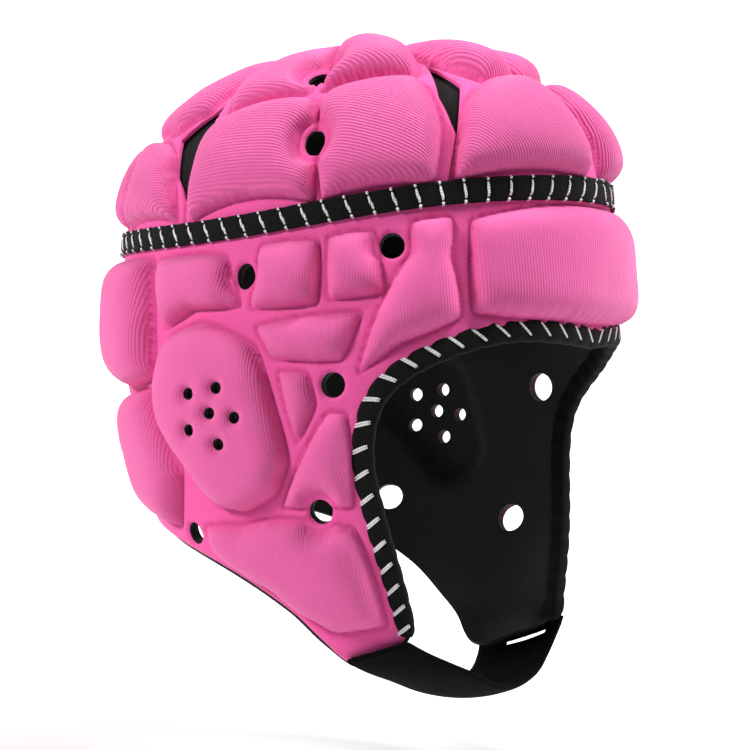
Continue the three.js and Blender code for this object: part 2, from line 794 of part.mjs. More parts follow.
// Binding folded round the cut edge of panel and lining at the face
function faceBinding() {
  const outside = WEB_OUTSIDE + TAPE_GAP;
  const inside = -BINDING_INSIDE_GAP;
  const nose = -BINDING_EDGE_GAP - TAPE_THICK;
  const section = [
    { inset: BINDING_LEG, lift: outside },
    { inset: BINDING_LEG, lift: outside + TAPE_THICK },
    { inset: 0, lift: outside + TAPE_THICK },
    { inset: nose, lift: outside },
    { inset: nose, lift: inside },
    { inset: 0, lift: inside - TAPE_THICK },
    { inset: BINDING_LEG, lift: inside - TAPE_THICK },
    { inset: BINDING_LEG, lift: inside },
    { inset: -BINDING_EDGE_GAP, lift: inside },
    { inset: -BINDING_EDGE_GAP, lift: outside },
  ];
  const line = faceLine.filter((point) => point.y > BINDING_END_HEIGHT);
  const stations = line.map((point, i) => {
    const before = line[Math.max(0, i - 1)];
    const after = line[Math.min(line.length - 1, i + 1)];
    const into = new THREE.Vector2(before.y - after.y, after.x - before.x).normalize();
    return section.map(({ inset, lift }) => {
      return lifted(lowerSurface, point.clone().addScaledVector(into, inset), lift);
    });
  });
  const { solid, rings } = sweptSolid(stations, false);
  const flat = section.map(({ inset, lift }) => new THREE.Vector2(inset, lift));
  const cap = THREE.ShapeUtils.triangulateShape(flat, []);
  const facing = area(cap[0].map((i) => flat[i])) > 0 === area(flat) > 0;
  for (const face of cap) {
    const [a, b, c] = facing ? face : [...face].reverse();
    solid.facets.push([rings[0].ids[c], rings[0].ids[b], rings[0].ids[a]]);
    solid.facets.push([rings.at(-1).ids[a], rings.at(-1).ids[b], rings.at(-1).ids[c]]);
  }
  return solid.mesh("face_binding", BLACK);
}

// Chin strap: two rails from flap to flap, with the strap spread between them
function strapRails() {
  const rail = (name) => {
    const onFlap = ([round, height]) => {
      return lifted(lowerSurface, lowerFlat(round, height), WEB_OUTSIDE + STRAP_GAP);
    };
    const free = STRAP_FREE.map((row) => new THREE.Vector3(...row[name]));
    const points = [onFlap(STRAP_RIGHT_END[name]), ...free, onFlap(STRAP_LEFT_END[name])];
    return new THREE.CatmullRomCurve3(points, false, "centripetal");
  };
  return { front: rail("front"), rear: rail("rear") };
}

function chinStrap() {
  const { front, rear } = strapRails();
  const length = (front.getLength() + rear.getLength()) / 2;
  const width = front.getPointAt(0.5).distanceTo(rear.getPointAt(0.5));
  const strapSurface = (flat) => {
    const along = THREE.MathUtils.clamp(flat.x / length, 0, 1);
    const across = flat.y / width;
    const point = rear.getPointAt(along).lerp(front.getPointAt(along), across);
    const outward = point.clone().sub(THROAT).normalize();
    return point.addScaledVector(outward, 4 * STRAP_BULGE * across * (1 - across));
  };
  const corner = (x, y) => new THREE.Vector2(x * length, y * width);
  const outline = [];
  for (let i = 0; i <= STRAP_STEPS; i++) {
    const belly = (STRAP_BELLY / width) * Math.sin((Math.PI * i) / STRAP_STEPS);
    const along = lerp(STRAP_END_CUT, length - STRAP_END_CUT, i / STRAP_STEPS) / length;
    outline.push(corner(along, -belly));
    outline.unshift(corner(along, 1 + belly));
  }
  const ends = [0.3, 0.7].map((across) => [corner(0, across), corner(1, 1 - across)]);
  outline.splice(outline.length / 2, 0, ...ends.map(([first]) => first).reverse());
  outline.push(...ends.map(([, second]) => second).reverse());
  const middle = corner(STRAP_SLIT.along, 0.5);
  const reach = (STRAP_SLIT.length * width) / 2;
  const slit = [[-1, -reach], [1, -reach], [1.2, 0], [1, reach], [-1, reach], [-1.2, 0]].map(([x, y]) => {
    return new THREE.Vector2(middle.x + (x * STRAP_SLIT.width) / 2, middle.y + y);
  });
  const solid = sheetSolid(strapSurface, outline, [turned(slit, false)], 0, STRAP_THICK);
  return solid.mesh("chin_strap", BLACK);
}

const guard = new THREE.Group();
guard.add(lowerPanel(), crownPanel(), lowerLining(), crownLining(), crownBand(), faceBinding(), chinStrap());

// The top of the hollow, where the guard sits on the head, is the origin
guard.position.z = -CROWN_HEIGHT;

export default guard;
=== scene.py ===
import math

import bpy
import numpy as np
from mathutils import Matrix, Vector, noise
from mathutils.geometry import delaunay_2d_cdt
from mathutils.kdtree import KDTree


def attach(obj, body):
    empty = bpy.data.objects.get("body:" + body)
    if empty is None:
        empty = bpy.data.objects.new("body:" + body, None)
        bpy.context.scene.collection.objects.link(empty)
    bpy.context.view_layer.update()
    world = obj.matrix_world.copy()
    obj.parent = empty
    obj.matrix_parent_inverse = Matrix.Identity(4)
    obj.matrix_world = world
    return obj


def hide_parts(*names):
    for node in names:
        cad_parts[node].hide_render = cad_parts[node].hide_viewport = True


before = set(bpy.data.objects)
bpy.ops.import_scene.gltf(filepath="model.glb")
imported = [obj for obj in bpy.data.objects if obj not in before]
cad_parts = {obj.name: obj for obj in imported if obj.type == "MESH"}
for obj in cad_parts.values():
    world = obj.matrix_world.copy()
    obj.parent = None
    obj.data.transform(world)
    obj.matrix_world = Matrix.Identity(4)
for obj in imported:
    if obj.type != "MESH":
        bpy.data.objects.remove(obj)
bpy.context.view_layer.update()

# Sizes are millimetres until a mesh is made. Places are degrees round the head from the centre front,
# positive towards the wearer's right, with a height above the ears or a share of the way down the crown.
# A side is 1 for the wearer's right and -1 for the left.
METRE = 0.001
BOTH = (1, -1)
CROWN_HEIGHT = 130.0
DOME_POWER = 2.2
CROWN_REACH = 120.0
MM_PER_DEGREE = 1.6
FRONT_BLEND = 4.0

LINING_THICK = 1.1
LAYER_GAP = 1.1
WEB_THICK = 2.2
WEB_INSIDE = LINING_THICK + LAYER_GAP
WEB_OUTSIDE = WEB_INSIDE + WEB_THICK

SEAM_DROP = 0.5
CROWN_EDGE_SHARE = 0.994
BACK_SEAM_DEGREES = 179.95
LINING_SHOWS = 3.4
TAPE_THICK = 1.4
TAPE_GAP = 0.45
BAND_WIDTH = 9.5
BAND_HEIGHT = 67.2
BAND_TILT = 8.0
BAND_ARCH = 3.0
BINDING_END_HEIGHT = {"right": -86.4, "left": -89.0}
STRAP_THICK = 2.0
STRAP_GAP = 2.15
STRAP_BULGE = 2.2
STRAP_BELLY = 1.5
STRAP_END_CUT = 2.5
THROAT = np.array([0.0, -40.0, -60.0])

FINE = 1.05
COARSE = 7.0
LINING_STEP = {"lower": 2.2, "crown": 2.6}
EDGE_STEP = 1.2
RING_STEP = 0.5
CREASE_STEP = 0.4
FACE_STEP = 0.8
VENT_SIDES = 28
VENT_RING_SIDES = 36
EAR_HOLE_SIDES = 14
PAD_CORNER = 2.2
PAD_BOW = 0.02
PAD_GROWTH = {"lower": 0.8, "crown": 1.3}
PAD_SWELL = {"lower": 3.2, "crown": 3.1}
PAD_ROUNDS = 90
PAD_FLANK = 1.6
PAD_CREASE = 0.9
CREASE_WIDTH = 0.75
EDGE_ROLL = 1.4
ROLL_SHARE = 0.7
EAR_CUP_DEPTH = 6.6
EAR_CUP_INSET = 3.0
EAR_CUP_SLOPE = 9.0
EAR_HOLE_DIMPLE = 1.2
DIMPLE_WIDTH = 1.8
PINCH_REACH = 7.0
PINCH = {"panel outside": 1.2, "panel inside": 0.4, "lining outside": 0.1, "lining inside": 0.9}
LINING_SLACK = 0.6
PUCKER = {"depth": 0.45, "away": 7.5, "wide": 2.6, "end_degrees": 36}

# Unevenness of soft goods: size of the waves, height
PAD_WANDER = (17, 0.5)
WEB_WANDER = (9, 0.16)
LINING_WANDER = (21, 0.6)
WANDER_FULL_RISE = 5

RIB_PITCH = {"lower": 0.95, "crown": 1.0, "tape": 0.9, "webbing": 1.2}
RIB_LEAN = 0.27
RIB_LEAN_BELOW = 15
RIB_LEAN_SOFT = 8
CROWN_RIB_RADIUS = 112
BAND_STITCH = 8.6
STITCH_PHASE = 0.67
BINDING_STITCH = 8.6
LAST_STITCH = 3.1
THREAD_WIDE = 0.55
THREAD_HIGH = 0.36

HEAD_SECTIONS = {
    "height": [-104, -92, -78, -45, 0, 40, 85],
    "half_width": [50, 61.9, 66.1, 76, 80.5, 78, 70.5],
    "front": [72, 80.7, 83.7, 91, 98, 99.5, 97.5],
    "back": [54, 62.9, 67.1, 77, 90, 97.5, 95],
    "front_power": [2.4, 2.4, 2.4, 2.5, 2.45, 2.2, 2.05],
    "back_power": [2.1, 2.1, 2.1, 2.1, 2.1, 2.05, 2],
}

FACE_EDGE = {
    "right": [(0, 20.9), (24.3, 22.4), (42.2, 14.3), (53.6, 0.8), (56.8, -20), (53.2, -46.4), (45, -84)],
    "left": [(0, 20.9), (24.3, 22.4), (40.2, 11.5), (50.4, -2), (53, -20), (49.2, -46.4), (39, -82.5)],
}
LOWER_EDGE = {
    "right": [
        (45, -84), (47.5, -89.5), (52, -93), (61, -96), (71, -87.5), (84, -74.8), (104, -60.8), (126, -51.5),
        (150, -45), (BACK_SEAM_DEGREES, -43),
    ],
    "left": [
        (39, -82.5), (43, -88), (50, -92.3), (61, -97.8), (73, -95), (86, -83.5), (104, -66), (126, -50.2),
        (150, -41.8), (BACK_SEAM_DEGREES, -43),
    ],
}

# Pads of one half of the lower panel: name, rise over the web, corners
LOWER_PADS = [
    ("temple", 8, [(46, 63), (37.5, 65), (38.5, 51), (37, 29), (50, 20), (59, 9), (53, 35), (46.5, 52)]),
    ("upper front", 7.5, [(66.5, 58), (55, 60), (53.5, 38), (66, 36)]),
    ("upper middle", 7.5, [(86, 56), (69.5, 57), (69.5, 34.5), (88, 33.5)]),
    ("upper rear", 8, [(123.5, 52.5), (98, 52.5), (92, 34.5), (107, 33.5), (118, 27)]),
    ("rear bar", 11, [(150, 53), (127, 53), (122, 9), (134, 5), (149, 12)]),
    ("cheek bar", 6.5, [(86, 26), (58.5, 30.5), (63, 14), (81, 15)]),
    ("cheek wedge", 5.5, [(79, 9.5), (71.5, 9), (69.5, -2), (74, -15)]),
    ("cheek corner", 6, [(66, -5.5), (62, -5.5), (60.5, -38), (78.5, -38.5)]),
    ("jaw", 8.5, [
        (105.5, -47.5), (92, -46.5), (80, -43.5), (60, -46.5), (51.5, -82), (66.5, -85), (84, -70.3),
        (102, -57),
    ]),
    ("rear low", 9, [(125, 3.5), (112.5, -26), (117, -47), (136, -39), (146, -2), (136, 2)]),
    ("back upper", 10.5, [(177, 50), (154, 50.5), (153, 11), (177, 10)]),
    ("back low", 9, [(177, 5), (150.5, 1), (146.5, -24), (177, -30)]),
]
BROW_CORNERS = [(-34, 31), (-33, 64), (-15, 70.5), (15, 70.5), (33, 64), (34, 31), (15, 29.5), (-15, 29.5)]
BROW_RISE = 8.2
EAR_CORNERS = [
    (103, 28), (86.5, 19), (81, -1), (77, -22), (80.5, -34), (90, -40.5),
    (99, -39), (110, -23), (118.5, -8), (120, 8), (115, 23.5),
]
EAR_RISE = 9.0
# Holes of the ear pads, and how far forward of these places and how large they are on each side
EAR_HOLES = [(107.5, 2), (99, 4), (101, -5), (93.5, -6.5), (107.5, -11), (98.5, -16)]
EAR_HOLES_FORWARD = {1: 4.0, -1: 1.5}
EAR_HOLE_RADIUS = {1: 2.2, -1: 2.8}

# Vents of the lower panel: right place, left place, half width, half height
LOWER_VENTS = [
    ((91, 45), (91, 45), 3.9, 4.9),
    ((51, 55), (51, 55), 4.5, 4.8),
    ((65, 5), (61, 5), 4.5, 4.6),
    ((68.5, -40.5), (68, -50), 4.5, 4.5),
    ((111.5, -50), (112.5, -42.5), 4, 4.2),
    ((147, 3), (147, 3), 4.3, 4.5),
]
VENT_RING = 2.8
VENT_REACH = 30
LEFT_VENT_WIDER = 2.0
LEFT_VENT_TALLER = 1.3

# Pads of one half of the crown: name, rise over the web, corners
CROWN_PADS = [
    ("front low", 8.7, [(3.5, 0.952), (36, 0.952), (33.5, 0.81), (30, 0.665), (21, 0.54), (4, 0.52)]),
    ("front top", 12.3, [(4, 0.475), (17.5, 0.505), (22.5, 0.42), (24, 0.28), (25, 0.12), (10, 0.08)]),
    ("side low front", 7.5, [(71, 0.565), (39.5, 0.505), (38.5, 0.75), (41, 0.955), (68.5, 0.956)]),
    ("side low rear", 7.5, [(71.5, 0.956), (74.5, 0.57), (110, 0.63), (113, 0.69), (111.5, 0.956)]),
    ("side top front", 11.5, [(72, 0.5), (40, 0.455), (33, 0.33), (35, 0.18), (48, 0.08), (75, 0.08)]),
    ("side top rear", 7, [(79, 0.505), (109, 0.575), (116, 0.47), (118, 0.2), (108, 0.1), (88, 0.09)]),
    ("rear low front", 7.5, [(118.5, 0.95), (127, 0.74), (136, 0.675), (146.5, 0.67), (145.5, 0.95)]),
    ("rear top front", 6.5, [(125, 0.535), (134, 0.62), (145.5, 0.61), (144, 0.15), (130, 0.13)]),
    ("rear low back", 6.8, [(149, 0.95), (149.5, 0.67), (159, 0.675), (169, 0.74), (177, 0.95)]),
    ("rear top back", 6.5, [(150.5, 0.61), (161, 0.62), (170, 0.535), (168, 0.13), (154, 0.15)]),
]
# Vents of one half of the crown: place, half width, half height
CROWN_VENTS = [((72, 0.75), 3.9, 5.1), ((78, 0.39), 4.7, 5.6), ((147.5, 0.8), 4, 5)]

# Darts of one half of the crown: window corners, foot, seam
DARTS = [
    ([(27, 0.315), (35.5, 0.595), (35, 0.73), (26.5, 0.515)], (34.5, 0.78), 38),
    ([(119.8, 0.5), (130.5, 0.655), (122.5, 0.81), (115.8, 0.66)], (115.5, 0.9), 114.5),
]
BACK_WINDOW = [(180, 0.5), (187, 0.67), (180, 0.84), (173, 0.67)]
DART_SLIT = 0.45
DART_CLEAR_DEGREES = 0.7

STRAP_RIGHT_END = {"rear": (63, -91.5), "front": (46.5, -86)}
STRAP_FREE = {
    "rear": [(-55, -33.5, -99.3), (-37, -34, -104.6), (0, -33.5, -114), (30, -32, -111), (51, -25, -106)],
    "front": [
        (-48.5, -57.5, -93.4), (-30, -63.5, -101.3), (0, -65, -110.5), (28, -63.5, -107), (42, -60.8, -102),
    ],
}
STRAP_LEFT_END = {"rear": (-73, -94), "front": (-41, -85)}
STRAP_SLIT = {"along": 0.94, "across": 0.57, "length": 0.48, "width": 2.2, "askew": 0.12, "waist": 1.2}
STRAP_SCALLOP = 0.3
STRAP_SCALLOPS = 13
RAIL_STEPS = 200
STRAP_EDGE_POINTS = 120
STRAP_END_POINTS = 24


# The form of the head
def hermite(t, a, b, leave, arrive):
    """Curve from a to b, with its slopes at both ends."""
    return a + leave * t + (3 * (b - a) - 2 * leave - arrive) * t**2 + (2 * (a - b) + leave + arrive) * t**3


def head_column(name, height):
    levels = np.array(HEAD_SECTIONS["height"], float)
    values = np.array(HEAD_SECTIONS[name], float)
    level = np.clip(height, levels[0], levels[-1])
    gaps = np.diff(levels)
    slopes = np.diff(values) / gaps
    inner = (slopes[:-1] * gaps[1:] + slopes[1:] * gaps[:-1]) / (gaps[:-1] + gaps[1:])
    tangents = np.concatenate([slopes[:1], inner, slopes[-1:]])
    low = np.clip(np.searchsorted(levels, level) - 1, 0, len(gaps) - 1)
    t = (level - levels[low]) / gaps[low]
    leave, arrive = tangents[low] * gaps[low], tangents[low + 1] * gaps[low]
    return hermite(t, values[low], values[low + 1], leave, arrive)


def head_radius(degrees, height):
    forward = np.cos(np.radians(degrees))
    aside = np.abs(np.sin(np.radians(degrees)))
    front_share = 0.5 + 0.5 * np.tanh(FRONT_BLEND * forward)

    def blended(part):
        back, front = (head_column(end + part, height) for end in ("back", "front"))
        return back + (front - back) * front_share

    reach, power = blended(""), blended("_power")
    total = (aside / head_column("half_width", height)) ** power + (np.abs(forward) / reach) ** power
    return total ** (-1 / power)


def band_height(degrees):
    angle = np.radians(degrees)
    return BAND_HEIGHT + BAND_TILT * np.cos(angle) + BAND_ARCH * np.cos(2 * angle)


def lower_flat(corners, side=1):
    corners = np.asarray(corners, float)
    return np.stack([side * corners[:, 0] * MM_PER_DEGREE, corners[:, 1]], 1)


def crown_flat(corners, side=1):
    corners = np.asarray(corners, float)
    angle = np.radians(side * corners[:, 0])
    reach = corners[:, 1] * CROWN_REACH
    return np.stack([reach * np.sin(angle), reach * np.cos(angle)], 1)


def lower_surface(flat):
    degrees = flat[:, 0] / MM_PER_DEGREE
    radius = head_radius(degrees, flat[:, 1])
    angle = np.radians(degrees)
    return np.stack([-radius * np.sin(angle), -radius * np.cos(angle), flat[:, 1]], 1)


def crown_surface(flat):
    degrees = np.degrees(np.arctan2(flat[:, 0], flat[:, 1]))
    turn = np.minimum(1, np.hypot(flat[:, 0], flat[:, 1]) / CROWN_REACH) * math.pi / 2
    spread = np.sin(turn) ** (2 / DOME_POWER)
    climb = np.maximum(0, np.cos(turn)) ** (2 / DOME_POWER)
    rim = lower_surface(np.stack([degrees * MM_PER_DEGREE, band_height(degrees)], 1))
    top = rim[:, 2] + (CROWN_HEIGHT - rim[:, 2]) * climb
    return np.stack([rim[:, 0] * spread, rim[:, 1] * spread, top], 1)


def moves(surface, flat, step):
    """How far a surface point moves over two steps across the flat, and over two along it."""
    across = surface(flat + [step, 0]) - surface(flat - [step, 0])
    along = surface(flat + [0, step]) - surface(flat - [0, step])
    return across, along


def based(surface, flat):
    """Points of a surface and its outward normals there."""
    step = 0.05
    base = flat
    if surface is crown_surface:
        reach = np.maximum(step, np.hypot(flat[:, 0], flat[:, 1]))
        base = flat * np.maximum(0, 1 - step / reach)[:, None]
    normal = np.cross(*moves(surface, base, step))
    normal /= np.linalg.norm(normal, axis=1)[:, None]
    points = surface(flat)
    normal[(normal * points).sum(1) < 0] *= -1
    return points, normal


def lifted(surface, flat, lift):
    points, normal = based(surface, np.asarray(flat, float))
    return points + normal * np.broadcast_to(lift, len(points))[:, None]


# Lines and rings in the flat
def catmull(points, per_span=16):
    p = np.asarray(points, float)
    p = np.concatenate([p[:1], p, p[-1:]])
    t = np.linspace(0, 1, per_span, endpoint=False)[:, None]
    corners = zip(p[:-3], p[1:-2], p[2:-1], p[3:])
    spans = [hermite(t, b, c, (c - a) / 2, (d - b) / 2) for a, b, c, d in corners]
    return np.concatenate(spans + [p[-1:]])


def between(t, start, end, a, b):
    return ((end - t) * a + (t - start) * b) / (end - start)


def centripetal(points, per_span=24):
    p = np.asarray(points, float)
    p = np.concatenate([[2 * p[0] - p[1]], p, [2 * p[-1] - p[-2]]])
    found = []
    for a, b, c, d in zip(p[:-3], p[1:-2], p[2:-1], p[3:]):
        k = np.cumsum([0] + [np.linalg.norm(v - u) ** 0.5 for u, v in ((a, b), (b, c), (c, d))])
        t = np.linspace(k[1], k[2], per_span, endpoint=False)[:, None]
        bc = between(t, k[1], k[2], b, c)
        abc = between(t, k[0], k[2], between(t, k[0], k[1], a, b), bc)
        bcd = between(t, k[1], k[3], bc, between(t, k[2], k[3], c, d))
        found.append(between(t, k[1], k[2], abc, bcd))
    return np.concatenate(found + [p[-2:-1]])


def run_length(line):
    """Length along a line up to each of its points."""
    return np.concatenate([[0], np.cumsum(np.linalg.norm(np.diff(line, axis=0), axis=1))])


def columns_at(at, places, columns):
    """Columns of numbers, known at some places, at others."""
    return np.stack([np.interp(at, places, column) for column in columns.T], 1)


def bell(away, width):
    """1 at no distance, and near 0 at twice the width."""
    return np.exp(-((away / width) ** 2))


def eased(t):
    t = np.clip(t, 0, 1)
    return t * t * (3 - 2 * t)


def resampled(line, step, count=None):
    line = np.asarray(line, float)
    length = run_length(line)
    count = count or max(1, int(math.ceil(length[-1] / step)))
    return columns_at(np.linspace(0, length[-1], count + 1), length, line)


def closed_ring(corners, step):
    """Ring of points a step apart through corners."""
    corners = np.asarray(corners, float)
    sides = zip(corners, np.roll(corners, -1, 0))
    return np.concatenate([resampled([a, b], step)[:-1] for a, b in sides])


def unit(vectors):
    return vectors / np.linalg.norm(vectors, axis=-1, keepdims=True)


def oval(surface, center, half_width, half_height, count):
    """Ring in the flat that is an upright oval on the surface."""
    step = 0.5
    center = np.asarray(center, float)[None]
    across, along = (move[0] / (2 * step) for move in moves(surface, center, step))
    normal = unit(np.cross(across, along))
    upward = unit(np.array([0, 0, 1]) - normal * normal[2])
    level = np.cross(normal, upward)
    turn = 2 * math.pi * (np.arange(count)[:, None] + 0.37) / count
    wanted = half_width * np.cos(turn) * level + half_height * np.sin(turn) * upward
    return center + wanted @ np.linalg.pinv(np.stack([across, along], 1)).T


def anticlockwise(corners):
    corners = np.asarray(corners, float)
    x, y = corners.T
    return corners if (x * np.roll(y, -1) - y * np.roll(x, -1)).sum() > 0 else corners[::-1]


def grown(corners, by):
    """Corners moved so that each side lies further out."""
    corners = anticlockwise(corners)
    ahead = unit(np.roll(corners, -1, 0) - corners)
    out = np.stack([ahead[:, 1], -ahead[:, 0]], 1)
    before = np.roll(out, 1, 0)
    return corners + by * (out + before) / np.maximum(0.5, 1 + (out * before).sum(1))[:, None]


def rounded(corners, cut, bow):
    """Ring through corners, with the corners rounded and the sides bowed out."""
    corners = anticlockwise(corners)
    before, after = np.roll(corners, 1, 0), np.roll(corners, -1, 0)
    back = np.linalg.norm(before - corners, axis=1)
    ahead = np.linalg.norm(after - corners, axis=1)
    first = corners + (before - corners) * np.minimum(cut / back, 0.4)[:, None]
    last = corners + (after - corners) * np.minimum(cut / ahead, 0.4)[:, None]
    t = np.linspace(0, 1, 9)[:, None]
    ring = []
    for i, corner in enumerate(corners):
        ring.append((1 - t) ** 2 * first[i] + 2 * t * (1 - t) * corner + t**2 * last[i])
        a, b = last[i], first[(i + 1) % len(corners)]
        side = np.linspace(0, 1, max(2, int(np.linalg.norm(b - a) / 2)))[1:-1, None]
        outward = np.array([b[1] - a[1], a[0] - b[0]])
        ring.append(a + (b - a) * side + outward * 4 * bow * side * (1 - side))
    return np.concatenate(ring)


def inside(ring, points):
    x, y = points[:, 0], points[:, 1]
    found = np.zeros(len(points), bool)
    for (ax, ay), (bx, by) in zip(ring, np.roll(ring, -1, 0)):
        if ay == by:
            continue
        crosses = (ay > y) != (by > y)
        found ^= crosses & (x < ax + (bx - ax) * (y - ay) / (by - ay))
    return found


def within(loops, points):
    """Which points lie inside the first loop and outside the others."""
    found = inside(loops[0], points)
    for hole in loops[1:]:
        found &= ~inside(hole, points)
    return found


def nearest(targets, points):
    """Distance from each point to the nearest target."""
    tree = KDTree(len(targets))
    wide = np.zeros((len(targets), 3))
    wide[:, : targets.shape[1]] = targets
    for i, target in enumerate(wide):
        tree.insert(target, i)
    tree.balance()
    asked = np.zeros((len(points), 3))
    asked[:, : points.shape[1]] = points
    return np.array([tree.find(point)[2] for point in asked])


def triangulated(loops, spacing, creases=()):
    """Points and triangles that fill the first loop outside the others; the loops' points come first.

    Edges of the triangles follow the creases, where these keep clear of the loops.
    """
    edges = []
    start = 0
    rim = np.concatenate(loops)
    loop_points = len(rim)
    for ring in [*loops, *creases]:
        count = len(ring)
        clear = np.ones(count, bool)
        if start >= loop_points:
            clear = (nearest(rim[:loop_points], ring) > EDGE_STEP) & inside(loops[0], ring)
            rim = np.concatenate([rim, ring[clear]])
        place = start + np.cumsum(clear) - 1
        follows = np.roll(clear, -1)
        after = np.roll(place, -1)
        edges += [(place[i], after[i]) for i in range(count) if clear[i] and follows[i]]
        start += int(clear.sum())
    low, high = rim.min(0), rim.max(0)
    rows = np.arange(low[1], high[1], spacing * 0.87)
    columns = np.arange(low[0], high[0], spacing)
    grid = np.stack(np.meshgrid(columns, rows), -1)
    grid[1::2, :, 0] += spacing / 2
    grid[..., 1] += 0.03 * spacing * np.sin(grid[..., 0] * 7)
    grid = grid.reshape(-1, 2)
    grid = grid[within(loops, grid)]
    grid = grid[nearest(rim, grid) > 0.6 * min(spacing, EDGE_STEP)]
    points = np.concatenate([rim, grid])
    edges = [(int(a), int(b)) for a, b in edges]
    made = delaunay_2d_cdt([Vector(p) for p in points.tolist()], edges, [], 0, 1e-7)
    points = np.array([(p.x, p.y) for p in made[0]])
    new_place = {old: new for new, ids in enumerate(made[3]) for old in ids}
    first = np.array([new_place[i] for i in range(loop_points)])
    order = np.concatenate([first, np.setdiff1d(np.arange(len(points)), first)])
    place = np.empty(len(points), int)
    place[order] = np.arange(len(points))
    points = points[order]
    triangles = place[np.array(made[2])]
    a, b, c = (points[triangles[:, k]] for k in range(3))
    turn = (b[:, 0] - a[:, 0]) * (c[:, 1] - a[:, 1]) - (b[:, 1] - a[:, 1]) * (c[:, 0] - a[:, 0])
    triangles[turn < 0] = triangles[turn < 0][:, ::-1]
    keep = within(loops, (a + b + c) / 3)
    keep &= (np.abs(turn) > 1e-4) | (triangles >= loop_points).any(1)
    return points, triangles[keep]


def averager(triangles, size):
    """Function that gives each point the mean of its neighbours' values."""
    pairs = np.concatenate([triangles[:, [0, 1]], triangles[:, [1, 2]], triangles[:, [2, 0]]])
    pairs = np.concatenate([pairs, pairs[:, ::-1]])
    count = np.maximum(1, np.bincount(pairs[:, 0], minlength=size))
    return lambda values: np.bincount(pairs[:, 0], values[pairs[:, 1]], size) / count


def smoothed(values, triangles, rounds):
    around = averager(triangles, len(values))
    for _ in range(rounds):
        values = 0.5 * values + 0.5 * around(values)
    return values


# Making meshes
def placed(name, data):
    made = bpy.data.objects.new(name, data)
    bpy.context.collection.objects.link(made)
    return made


def new_object(name, points, faces, materials, attributes, face_materials=None):
    mesh = bpy.data.meshes.new(name)
    points = (np.asarray(points) - [0, 0, CROWN_HEIGHT]) * METRE
    mesh.from_pydata(points.tolist(), [], [list(face) for face in faces], shade_flat=False)
    for key, values in attributes.items():
        layer = mesh.attributes.new(key, "FLOAT", "POINT")
        layer.data.foreach_set("value", np.asarray(values, np.float32))
    for material in materials:
        mesh.materials.append(material)
    if face_materials is not None:
        mesh.polygons.foreach_set("material_index", np.asarray(face_materials, np.int32))
    mesh.update()
    made = placed(name, mesh)
    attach(made, "root")
    return made


def shell(
    name, surface, loops, fine, coarse, outer_lift, inner_lift, materials, rib, creases=(), edged=None,
):
    """Closed sheet between two lifts from a surface.

    outer_lift gives the lift and the marks of each point, inner_lift the lift. The walls of the holes take
    the last material, and so does the outer wall where edged says so.
    """
    fine_flat, fine_tris = triangulated(loops, fine, creases)
    coarse_flat, coarse_tris = triangulated(loops, coarse)
    base, normal = based(surface, fine_flat)
    lift, marks = outer_lift(fine_flat, base, fine_tris)
    outer = base + normal * lift[:, None]
    base, normal = based(surface, coarse_flat)
    inner = base + normal * inner_lift(coarse_flat, base, coarse_tris)[:, None]
    count = len(outer)
    rim = len(np.concatenate(loops))
    a, b, c = (outer[fine_tris[:, k]] for k in range(3))
    facing = (np.cross(b - a, c - a) * (a + b + c)).sum() > 0
    faces = [tuple(t) if facing else tuple(t[::-1]) for t in fine_tris]
    faces += [tuple(t[::-1] + count) if facing else tuple(t + count) for t in coarse_tris]
    slots = [0] * len(faces)
    last = len(materials) - 1
    sharp = []
    start = 0
    for loop in loops:
        size = len(loop)
        solid_left = np.array_equal(anticlockwise(loop), loop) == (start == 0)
        dark = np.full(size, start > 0)
        if start == 0 and edged is not None:
            dark = edged(loop)
        for i in range(size):
            a, b = start + i, start + (i + 1) % size
            if solid_left != facing:
                a, b = b, a
            faces.append((b, a, count + a, count + b))
            slots.append(last if dark[i] else 0)
            sharp += [(a, b), (count + a, count + b)]
        start += size
    points = np.concatenate([outer, inner])
    flat = np.concatenate([fine_flat, coarse_flat])
    layers = {key: np.concatenate([values, np.zeros(len(inner))]) for key, values in marks.items()}
    made = new_object(name, points, faces, materials, {"rib": rib(flat, points), **layers}, slots)
    mark_sharp(made.data, sharp)
    return made


def mark_sharp(mesh, pairs):
    wanted = {(min(pair), max(pair)) for pair in pairs}
    ends = np.empty(len(mesh.edges) * 2, np.int32)
    mesh.edges.foreach_get("vertices", ends)
    marks = [(min(a, b), max(a, b)) in wanted for a, b in ends.reshape(-1, 2).tolist()]
    mesh.attributes.new("sharp_edge", "BOOLEAN", "EDGE").data.foreach_set("value", marks)


def tube_faces(count, size, closed, start=0):
    """Faces of a skin over count rings of size points, capped unless the last ring meets the first."""
    faces = []
    for i in range(count if closed else count - 1):
        a, b = start + i * size, start + (i + 1) % count * size
        for k in range(size):
            right = (k + 1) % size
            faces.append((a + k, a + right, b + right, b + k))
    if not closed:
        last = start + (count - 1) * size
        faces.append(tuple(range(start, start + size))[::-1])
        faces.append(tuple(range(last, last + size)))
    return faces


def swept(name, tubes, material, closed=False):
    """One object of tubes, each of rings of points with a rib count for each ring."""
    points, faces, values = [], [], []
    start = 0
    for tube, rib in tubes:
        count, size = tube.shape[:2]
        faces += tube_faces(count, size, closed, start)
        points.append(tube.reshape(-1, 3))
        values.append(np.repeat(rib, size))
        start += count * size
    made = new_object(name, np.concatenate(points), faces, [material], {"rib": np.concatenate(values)})
    fix_facing(made)
    return made


